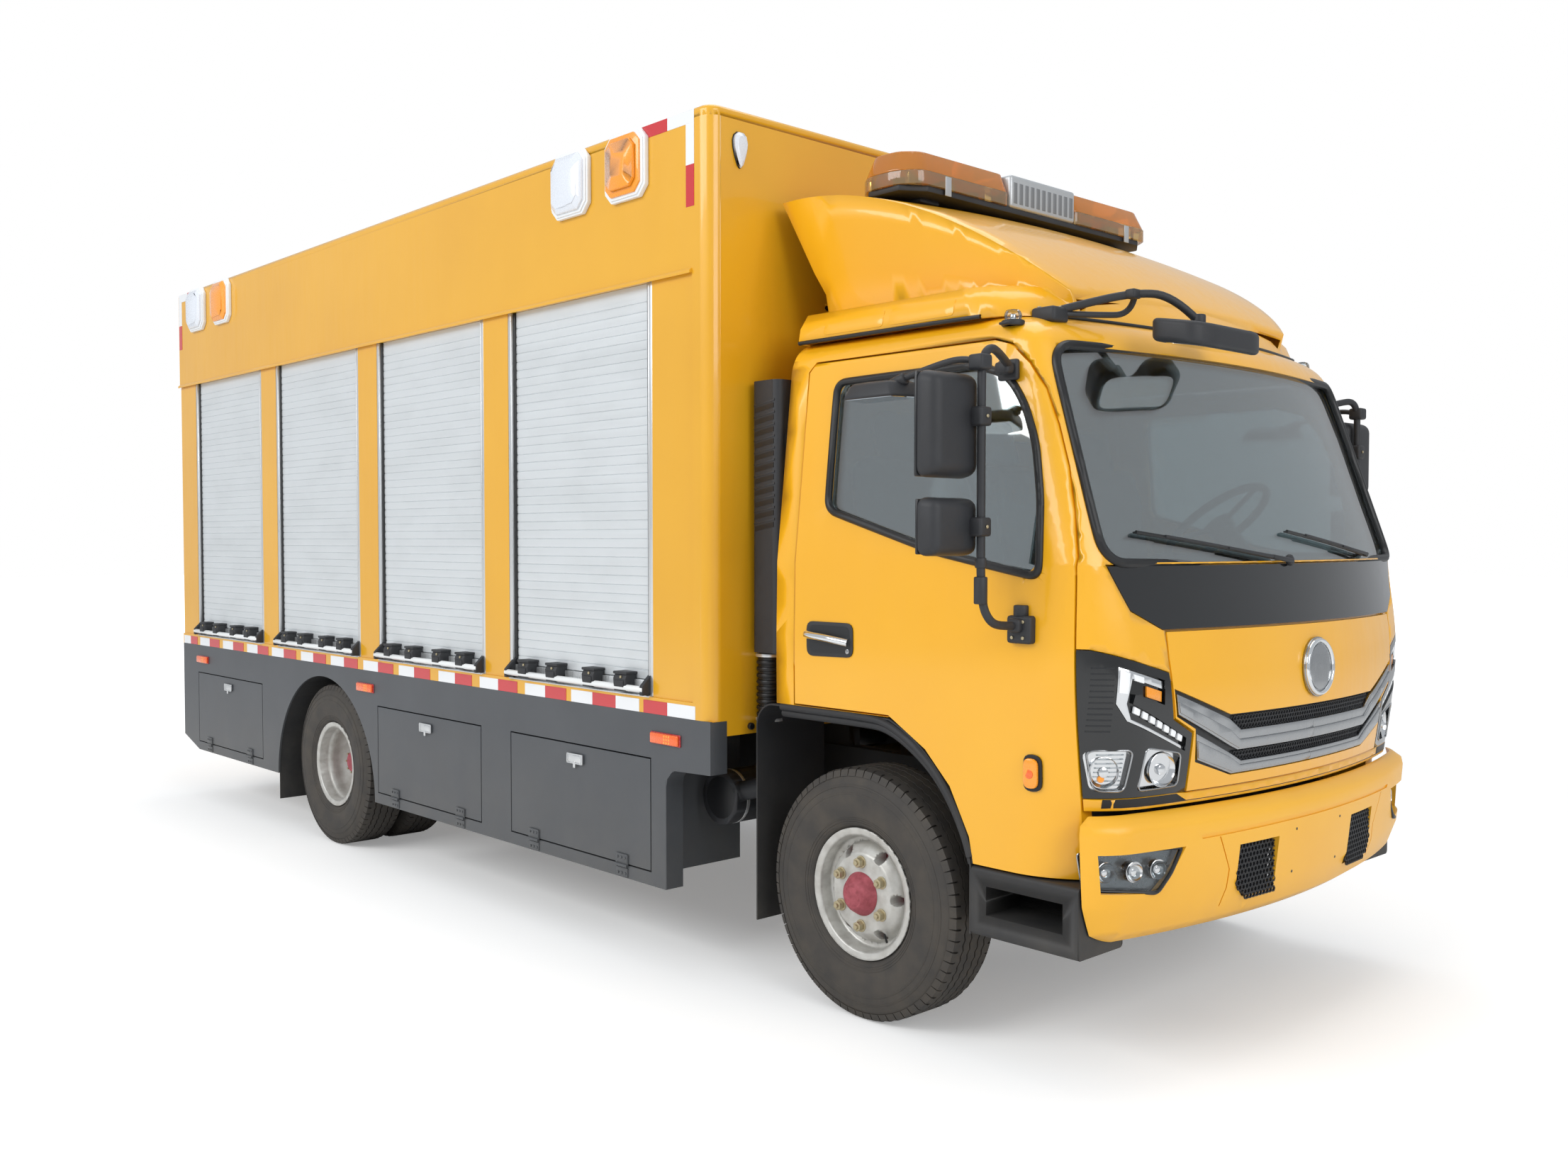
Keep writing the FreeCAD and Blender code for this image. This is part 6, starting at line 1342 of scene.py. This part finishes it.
def look_down_mirror():
    """The front mirror: a flat head with a curled rim on a braced tube, from a foot bolted above the windscreen."""
    plan = bent([(3.262, -0.636), (3.400, -0.632), (3.433, -0.560), (3.433, -0.290), (3.400, -0.221), (3.262, -0.217),
                 (3.247, -0.300), (3.262, -0.385), (3.330, -0.400), (3.330, -0.500), (3.262, -0.520), (3.247, -0.580)], 0.045)
    head = outline([(x, y, 2.226) for x, y in plan], (0, 0, 0.072))
    for vertex in head.data.vertices:
        vertex.co.z += 0.18 * (3.335 - vertex.co.x)
    soften(head, 0.024, 5, 50)
    pane = outline([(x, y, 2.2245 + 0.18 * (3.335 - x)) for x, y in bent([(3.275, -0.600), (3.405, -0.600), (3.405, -0.255),
                                                                         (3.275, -0.255)], 0.05)], (0, 0, 0.003))
    arm = pipe([(3.010, -0.805, 2.335), (3.060, -0.760, 2.352), (3.200, -0.640, 2.392), (3.285, -0.545, 2.385),
                (3.330, -0.470, 2.305)], 0.0128, 6, 6)
    brace = pipe([(3.030, -0.800, 2.330), (3.100, -0.680, 2.330), (3.160, -0.580, 2.335), (3.205, -0.632, 2.388)],
                 0.0098, 6, 5)
    joints = [bar((3.330, -0.470, 2.328), (3.330, -0.470, 2.276), 0.021, 0.005),
              brick((3.185, -0.662, 2.372), (3.222, -0.618, 2.402), 0.008, 3)]
    foot = brick((2.966, -0.846, 2.300), (3.056, -0.764, 2.350), 0.012, 3)
    bolts = [knob((2.986 + 0.050 * i, -0.826 + 0.040 * i, 2.349), (0, 0, 1), 0.0075, 0.006, 6) for i in range(2)]
    for piece, name, mat in ((head, "front_mirror_housing", "plastic"), (pane, "front_mirror_glass", "mirror"),
                             (join_up([arm, brace, foot] + joints), "front_mirror_arm", "plastic"),
                             (join_up(bolts), "front_mirror_bolts", "zinc")):
        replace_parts(dress(piece, name, mat, ROOT, 40), "front_mirror")


side_mirrors()
look_down_mirror()


# ---------------------------------------------------------------- roof lamps, fairing trim and air intake

def light_bar():
    """The bar: silver louvred middle, amber domes in two tones over dark works, on strapped feet."""
    low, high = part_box("light_bar")
    top, base, half = high.z - 0.001, high.z - 0.145, high.y - 0.002
    x0, x1 = low.x + 0.002, high.x - 0.002
    tray = outline([(x0 + 0.01, -half + 0.10, base), (x0 + 0.07, -half + 0.012, base), (x1 - 0.07, -half + 0.012, base),
                    (x1 - 0.01, -half + 0.10, base), (x1 - 0.01, half - 0.10, base), (x1 - 0.07, half - 0.012, base),
                    (x0 + 0.07, half - 0.012, base), (x0 + 0.01, half - 0.10, base)], (0, 0, 0.022), 0.005)
    dress(tray, "light_bar_tray", "plastic", ROOT)
    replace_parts(tray, "light_bar")
    uppers, lowers, works, bulbs = [], [], [], []
    for way in (1, -1):
        for z0, z1, inset, group in ((base + 0.022, base + 0.070, 0.0, lowers), (base + 0.070, top, 0.004, uppers)):
            plan = bent([(x0 + inset, way * 0.205), (x0 + inset, way * (half - 0.06)), (x0 + 0.075, way * (half - 0.002)),
                         (x1 - 0.075, way * (half - 0.002)), (x1 - inset, way * (half - 0.06)), (x1 - inset, way * 0.205)], 0.035)
            dome = outline([(x, y, z0) for x, y in plan], (0, 0, z1 - z0))
            if group is uppers:
                for vertex in dome.data.vertices:
                    if vertex.co.z > z1 - 0.001:
                        vertex.co.x = (x0 + x1) / 2 + (vertex.co.x - (x0 + x1) / 2) * 0.78
                        vertex.co.y = way * (0.205 + (way * vertex.co.y - 0.205) * 0.955)
            group.append(soften(dome, 0.010 if group is uppers else 0.003, 3, 25))
        for y in (0.30, 0.43, 0.62):
            works.append(bar(((x0 + x1) / 2, way * y, base + 0.020), ((x0 + x1) / 2, way * y, base + 0.095), 0.052, 0.006, 28))
            bulbs.append(knob(((x0 + x1) / 2, way * y, base + 0.095), (0, 0, 1), 0.018, 0.022))
        works.append(brick((x0 + 0.035, way * 0.52 - 0.035, base + 0.020), (x1 - 0.035, way * 0.52 + 0.035, base + 0.060), 0.004))
        for y in (0.28, 0.50, 0.70):
            bulbs.append(brick((x0 + 0.045, way * y - 0.02, base + 0.024), (x0 + 0.06, way * y + 0.02, base + 0.085), 0.002))
            bulbs.append(brick((x1 - 0.060, way * y - 0.02, base + 0.024), (x1 - 0.045, way * y + 0.02, base + 0.085), 0.002))
    core = brick((x0 + 0.001, -0.203, base + 0.020), (x1 - 0.001, 0.203, top - 0.002), 0.012, 3)
    slits = []
    for i in range(11):
        y = -0.175 + 0.035 * i
        slits.append(brick((x1 - 0.006, y - 0.011, base + 0.036), (x1 + 0.0005, y + 0.011, top - 0.030), 0.002))
        slits.append(brick((x0 - 0.0005, y - 0.011, base + 0.036), (x0 + 0.006, y + 0.011, top - 0.030), 0.002))
    feet, straps = [], []
    for way in (1, -1):
        feet.append(brick(((x0 + x1) / 2 - 0.058, way * 0.56 - 0.053, low.z + 0.008), ((x0 + x1) / 2 + 0.058, way * 0.56 + 0.053, base + 0.004), 0.008))
        straps.append(brick((x0 - 0.0015, way * 0.56 - 0.016, base - 0.002), (x0 + 0.004, way * 0.56 + 0.016, base + 0.066), 0.002))
        straps.append(brick((x1 - 0.004, way * 0.56 - 0.016, base - 0.002), (x1 + 0.0015, way * 0.56 + 0.016, base + 0.066), 0.002))
    for pieces, name, mat in ((uppers, "light_bar_upper_domes", "amber_cover"), (lowers, "light_bar_lower_domes", "pale_amber_cover"),
                              (works, "light_bar_works", "trim_grey"), (bulbs, "light_bar_reflectors", "reflector"),
                              ([core], "light_bar_middle", "satin_silver"), (slits, "light_bar_louvres", "dull_aluminium"),
                              (feet, "light_bar_feet", "plastic"), (straps, "light_bar_straps", "satin_silver")):
        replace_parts(dress(join_up(pieces), name, mat, ROOT), "light_bar")


def fairing_trim():
    """The rubber strip under the fairing and the clear corner lamps."""
    strip = pipe([on_front(y, 2.3285, 0.004, ("roof_fairing",)) for y in (-0.80, -0.60, -0.30, 0.0, 0.30, 0.60, 0.80)],
                 0.0075, 6, 4)
    sides = [pipe([on_side(x, 2.3285, 0.003, ("roof_fairing",)) for x in (2.02, 2.20, 2.45, 2.70, 2.84)], 0.0075, 6, 4)]
    sides.append(copy_of(sides[0], mirror=True))
    dress(join_up([strip] + sides), "fairing_strip", "seal", ROOT)
    bases, domes, lights = [], [], []
    spot = on_roof(2.965, -0.930) - Vector((0, 0, 0.006))
    bases.append(bar(spot, spot + Vector((0, 0, 0.018)), 0.036, 0.004, 32))
    bases.append(brick(spot + Vector((-0.016, -0.052, 0.0)), spot + Vector((0.016, 0.052, 0.009)), 0.004, 3))
    domes.append(bar(spot + Vector((0, 0, 0.018)), spot + Vector((0, 0, 0.052)), 0.030, 0.012, 32, 0.024))
    lights.append(knob(spot + Vector((0, 0, 0.016)), (0, 0, 1), 0.010, 0.022))
    both_sides(join_up(bases), "roof_lamp_bases", "plastic", ROOT)
    both_sides(join_up(domes), "roof_lamp_domes", "clear_cover", ROOT)
    both_sides(join_up(lights), "roof_lamp_bulbs", "reflector", ROOT)


def air_intake():
    """Slanted louvres on the tower's outer face with black plates of painted shade between them, the ribbed bellows
    with its clips, and the canister's bands.
    """
    low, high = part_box("air_intake")
    face, x0, x1 = low.y, 1.832, 1.950
    louvres = []
    for i in range(11):
        z = 2.118 - 0.043 * i
        louvres.append(outline([(x0 + 0.004, face - 0.001, z), (x1 - 0.004, face - 0.001, z + 0.016), (x1 - 0.004, face + 0.010, z + 0.030),
                                (x0 + 0.004, face + 0.010, z + 0.014)], (0, 0, -0.006), 0.001))
    # Thin black plates in the gaps between the louvres: painted shade, not openings.
    slots = [outline([(x0 + 0.008, face - 0.0006, 2.106 - 0.043 * i), (x1 - 0.008, face - 0.0006, 2.122 - 0.043 * i),
                      (x1 - 0.008, face - 0.0006, 2.104 - 0.043 * i), (x0 + 0.008, face - 0.0006, 2.088 - 0.043 * i)], (0, 0.003, 0))
             for i in range(11)]
    ribs = [bar((1.845, -0.925, z), (1.845, -0.925, z + 0.016), 0.050, 0.006, 40) for z in
            [0.975 + 0.024 * i for i in range(9)]]
    ribs.append(bar((1.845, -0.925, 0.965), (1.845, -0.925, 1.222), 0.043, 0.0, 40))
    clips = [bar((1.845, -0.925, z), (1.845, -0.925, z + 0.012), 0.0525, 0.001, 48) for z in (0.958, 1.196)]
    clips += [bar((1.62, y, 0.645), (1.62, y + 0.014, 0.645), 0.1042, 0.001, 64) for y in (-0.930, -0.680)]
    lid = bar((1.62, -0.9775, 0.645), (1.62, -0.962, 0.645), 0.082, 0.004, 64)
    for pieces, name, mat in ((louvres, "intake_louvres", "plastic"), (slots, "intake_slots", "lamp_black"),
                              (ribs + [lid], "intake_bellows", "seal"), (clips, "intake_clips", "aluminium")):
        dress(join_up(pieces), name, mat, ROOT)


light_bar()
fairing_trim()
air_intake()


# ---------------------------------------------------------------- cab sides

def door_fittings():
    """The pull handle in its bowl with its lock and a patch of painted shade, and the repeater lamp."""
    door, slot = BODY_OF["cab_door_right"].replace("right", "{side}"), "black_plastic"
    skin = copy_of(skins["cab_door_right"])
    plate = bent([(2.160, 1.225), (2.384, 1.230), (2.382, 1.346), (2.158, 1.346)], 0.030)
    bowl = draped(plate, skin, 0.0, 0.005, 0.002, 0.03, "y")
    # The well is a thin black patch standing 0.5 mm proud of the plate inside its outline: painted shade standing for
    # the hollow behind the grip.
    well = draped(bent([(2.176, 1.238), (2.370, 1.242), (2.368, 1.334), (2.174, 1.334)], 0.026), skin, 0.0035, 0.002, 0,
                  0.03, "y")
    grip = pipe([on_side(2.166, 1.300, 0.012), on_side(2.200, 1.298, 0.022), on_side(2.270, 1.293, 0.026),
                 on_side(2.330, 1.286, 0.022), on_side(2.366, 1.280, 0.010)], 0.0135, 6, 6)
    lock = knob(on_side(2.360, 1.250, 0.004), (0, -1, 0), 0.009, 0.004, 20)
    holder = draped(bent([(3.095, 0.878), (3.156, 0.878), (3.158, 0.988), (3.097, 0.990)], 0.028), skin, 0.0, 0.008, 0.003,
                    0.02, "y")
    lens = draped(bent([(3.102, 0.888), (3.148, 0.888), (3.150, 0.978), (3.104, 0.980)], 0.022), skin, 0.006, 0.016, 0.006,
                  0.02, "y")
    eye = knob(on_side(3.126, 0.932, 0.020), (0, -1, 0), 0.014, 0.003, 24)
    for piece, name, mat, at in ((bowl, "door_handle_plate", "plastic", slot), (well, "door_handle_well", "lamp_black", slot),
                                 (grip, "door_handle_grip", "chrome", slot), (lock, "door_lock", "satin_chrome", slot),
                                 (holder, "repeater_holder", "seal", slot), (lens, "repeater_lens", "amber_lens", "lamp_lens"),
                                 (eye, "repeater_reflector", "orange_lens", "lamp_lens")):
        both_sides(piece, name, mat, door)
    bpy.data.objects.remove(skin)


def arch_moulding():
    """Black moulding that follows the cab's lower edge over the wheel."""
    path = [(2.020, 1.033), (2.180, 1.033), (2.400, 1.033), (2.535, 1.028), (2.690, 0.940), (2.790, 0.838),
            (2.866, 0.700), (2.884, 0.640)]
    rail = pipe([(x, -1.0245, z) for x, z in path], 0.0140, 6, 4)
    lip = pipe([(x, -1.0130, z - 0.022) for x, z in path], 0.0150, 6, 4)
    both_sides(join_up([rail, lip]), "arch_moulding", "arch_plastic", ROOT)


def cab_flap():
    """The pebbled flap behind the front wheel, with its bolts and a clamping strip."""
    flap = brick((1.8845, -1.018, 0.245), (1.8885, -0.705, 0.640), 0.0015)
    strip = brick((1.8815, -1.018, 0.640), (1.8880, -0.705, 0.670), 0.002)
    bolts = [knob((1.8815, y, 0.655), (-1, 0, 0), 0.008, 0.005, 6) for y in (-0.98, -0.86, -0.74)]
    for piece, name, mat in ((flap, "front_flap", "flap"), (strip, "front_flap_strip", "dull_aluminium"),
                             (join_up(bolts), "front_flap_bolts", "zinc")):
        both_sides(piece, name, mat, ROOT)


def fairing_pockets():
    """Two thin enamel covers on each side of the fairing's base band."""
    skin = copy_of(skins["roof_fairing"])
    pockets = [bent([(2.140, 2.345), (2.420, 2.345), (2.420, 2.402), (2.140, 2.402)], 0.014),
               bent([(2.450, 2.345), (2.730, 2.345), (2.730, 2.402), (2.450, 2.402)], 0.014)]
    trims = [draped(points, skin, -0.0005, 0.0025, 0.0008, 0.04, "y") for points in pockets]
    both_sides(join_up(trims), "fairing_pocket_covers", "cab_enamel", ROOT)
    bpy.data.objects.remove(skin)


door_fittings()
arch_moulding()
cab_flap()
fairing_pockets()


# ---------------------------------------------------------------- seats

def pad(low, high, lean=0.0, about=(0, 0, 0), soft=0.045):
    """A seat pad before it is filled: a softened box, finely remeshed, leaning back about a point."""
    ob = brick(low, high, soft, 4)
    apply_modifier(ob, "REMESH", mode="VOXEL", voxel_size=0.012)
    if lean:
        turn = Matrix.Translation(about) @ Matrix.Rotation(math.radians(lean), 4, "Y") @ Matrix.Translation(-Vector(about))
        ob.data.transform(turn)
    return ob


def filled(ob, limit):
    """Blows a pad up like stuffed cloth, with no point moving further than limit."""
    before = [vertex.co.copy() for vertex in ob.data.vertices]
    only(ob)
    cloth = ob.modifiers.new("Cloth", "CLOTH")
    cloth.settings.use_pressure, cloth.settings.uniform_pressure_force = True, 4.0
    cloth.settings.quality = 4
    cloth.settings.effector_weights.gravity = 0.0
    cloth.point_cache.frame_start, cloth.point_cache.frame_end = 1, 20
    for step in range(1, 21):
        bpy.context.scene.frame_set(step)
    bpy.ops.object.modifier_apply(modifier=cloth.name)
    bpy.context.scene.frame_set(1)
    for vertex, start in zip(ob.data.vertices, before):
        move = vertex.co - start
        if move.length > limit:
            vertex.co = start + move.normalized() * limit
    return ob


def sewn(ob, axis, lines, deep):
    """Presses seams across a pad: points near each line sink, most at the line itself."""
    facing = [vertex.normal.copy() for vertex in ob.data.vertices]
    for vertex, away in zip(ob.data.vertices, facing):
        away[axis] = 0
        for line in lines:
            near = abs(vertex.co[axis] - line)
            if near < 0.016:
                vertex.co -= away * deep * (1 - near / 0.016) ** 2
    return ob


def seat(name, node, low_y, high_y, heads):
    """Cushion, back and head pads with sewn channels, and the clear film left over them."""
    base, tilt = 1.310, -12
    places = high_y - low_y
    cushion = filled(pad((2.345, low_y + 0.014, base + 0.016), (2.815, high_y - 0.014, base + 0.134)), 0.014)
    back = filled(pad((2.276, low_y + 0.014, base + 0.085), (2.378, high_y - 0.014, base + 0.615), tilt,
                      (2.262, 0, base + 0.070)), 0.014)
    count = max(1, round(places / 0.5))
    edges = [low_y + places * (i + share) / count for i in range(count) for share in (0.24, 0.76)]
    if count > 1:
        edges.append((low_y + high_y) / 2)
    pads = [sewn(cushion, 1, edges, 0.012), sewn(back, 1, edges, 0.012)]
    for y in heads:
        pads.append(filled(pad((2.168, y - 0.112, base + 0.580), (2.248, y + 0.112, base + 0.772), tilt,
                               (2.158, 0, base + 0.570), 0.035), 0.010))
    posts = []
    for y in heads:
        for shift in (-0.05, 0.05):
            posts.append(bar((2.176, y + shift, base + 0.540), (2.166, y + shift, base + 0.600), 0.007, 0.001, 16))
    whole = join_up(pads)
    film = copy_of(whole)
    apply_modifier(whole, "SUBSURF", levels=1)
    body = BODY_OF[node]
    dress(whole, f"{name}_pads", "cloth", body, 60)
    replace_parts(whole, node)
    dress(join_up(posts), f"{name}_posts", "chrome", body)
    facing = [vertex.normal.copy() for vertex in film.data.vertices]
    for vertex, away in zip(film.data.vertices, facing):
        spot = vertex.co * 16.0
        wave = math.sin(spot.y * 2.1 + 1.7 * math.sin(spot.z * 1.3)) + math.sin(spot.z * 2.9 + spot.x * 1.9)
        vertex.co += away * (0.0075 + 0.0035 * wave)
    dress(film, f"{name}_film", "polythene", body, 25)


seat("driver_seat", "driver_seat", 0.365, 0.865, (0.615,))
seat("bench_seat", "passenger_seat", -0.890, 0.250, (-0.590, -0.050))


# ---------------------------------------------------------------- camera, light and floor

def studio():
    data = bpy.data.cameras.new("view_camera")
    camera = bpy.data.objects.new("view_camera", data)
    bpy.context.scene.collection.objects.link(camera)
    data.sensor_width, data.lens = 36.0, 31.594
    data.clip_end = 200
    camera.location = (5.613, -4.343, 1.627)
    camera.rotation_euler = (math.radians(90 - 1.98), 0, math.radians(47.20))
    bpy.context.scene.camera = camera

    bpy.ops.object.select_all(action="DESELECT")
    bpy.ops.mesh.primitive_plane_add(size=120)
    floor = bpy.context.active_object
    floor.name = floor.data.name = "studio_floor"
    mat = bpy.data.materials.new("pale_studio_floor")
    mat.use_nodes = True
    tree = mat.node_tree
    tree.nodes.clear()
    # Matt white paper: the light it lacks against the backdrop is added for the camera only.
    paper = add_node(tree, "ShaderNodeBsdfDiffuse", {"Color": hex_colour("#F2F2F1")})
    glow = add_node(tree, "ShaderNodeEmission", {"Color": (1, 1, 1, 1)})
    rays = add_node(tree, "ShaderNodeLightPath")
    reach = add_node(tree, "ShaderNodeVectorMath", {"operation": "LENGTH"}, {0: place(tree)}).outputs["Value"]
    far = ramp(tree, reach, 6.0, 16.0, 0.25, 1.0)
    seen = add_node(tree, "ShaderNodeMath", {"operation": "MULTIPLY"}, {0: far, 1: rays.outputs["Is Camera Ray"]})
    tree.links.new(seen.outputs[0], glow.inputs["Strength"])
    both = add_node(tree, "ShaderNodeAddShader", {}, {0: paper.outputs[0], 1: glow.outputs[0]})
    add_node(tree, "ShaderNodeOutputMaterial", {}, {"Surface": both.outputs[0]})
    floor.data.materials.append(mat)

    world = bpy.data.worlds.new("studio_world")
    bpy.context.scene.world = world
    world.use_nodes = True
    tree = world.node_tree
    tree.nodes.clear()
    rays = add_node(tree, "ShaderNodeLightPath")
    sky = add_node(tree, "ShaderNodeBackground", {"Color": (0.93, 0.96, 1.0, 1), "Strength": 0.62})
    white = add_node(tree, "ShaderNodeBackground", {"Color": (1, 1, 1, 1), "Strength": 1.0})
    mix = add_node(tree, "ShaderNodeMixShader", {}, {0: rays.outputs["Is Camera Ray"], 1: sky.outputs[0],
                                                     2: white.outputs[0]})
    add_node(tree, "ShaderNodeOutputWorld", {}, {"Surface": mix.outputs[0]})

    def lamp(name, size, power, at, aim):
        light = bpy.data.lights.new(name, "AREA")
        light.shape, light.size, light.size_y, light.energy = "RECTANGLE", size[0], size[1], power
        holder = bpy.data.objects.new(name, light)
        bpy.context.scene.collection.objects.link(holder)
        holder.location = at
        holder.rotation_euler = (Vector(aim) - Vector(at)).to_track_quat("-Z", "Y").to_euler()

    lamp("side_softbox", (12, 5), 900, (-1, -12, 8), (-1, 0, 1.2))
    lamp("front_softbox", (7, 5), 420, (13, -2, 6), (2, 0, 1.3))
    lamp("top_softbox", (10, 8), 420, (0, 2, 12), (0, 0, 1))
    bpy.context.scene.view_settings.view_transform = "Standard"


studio()
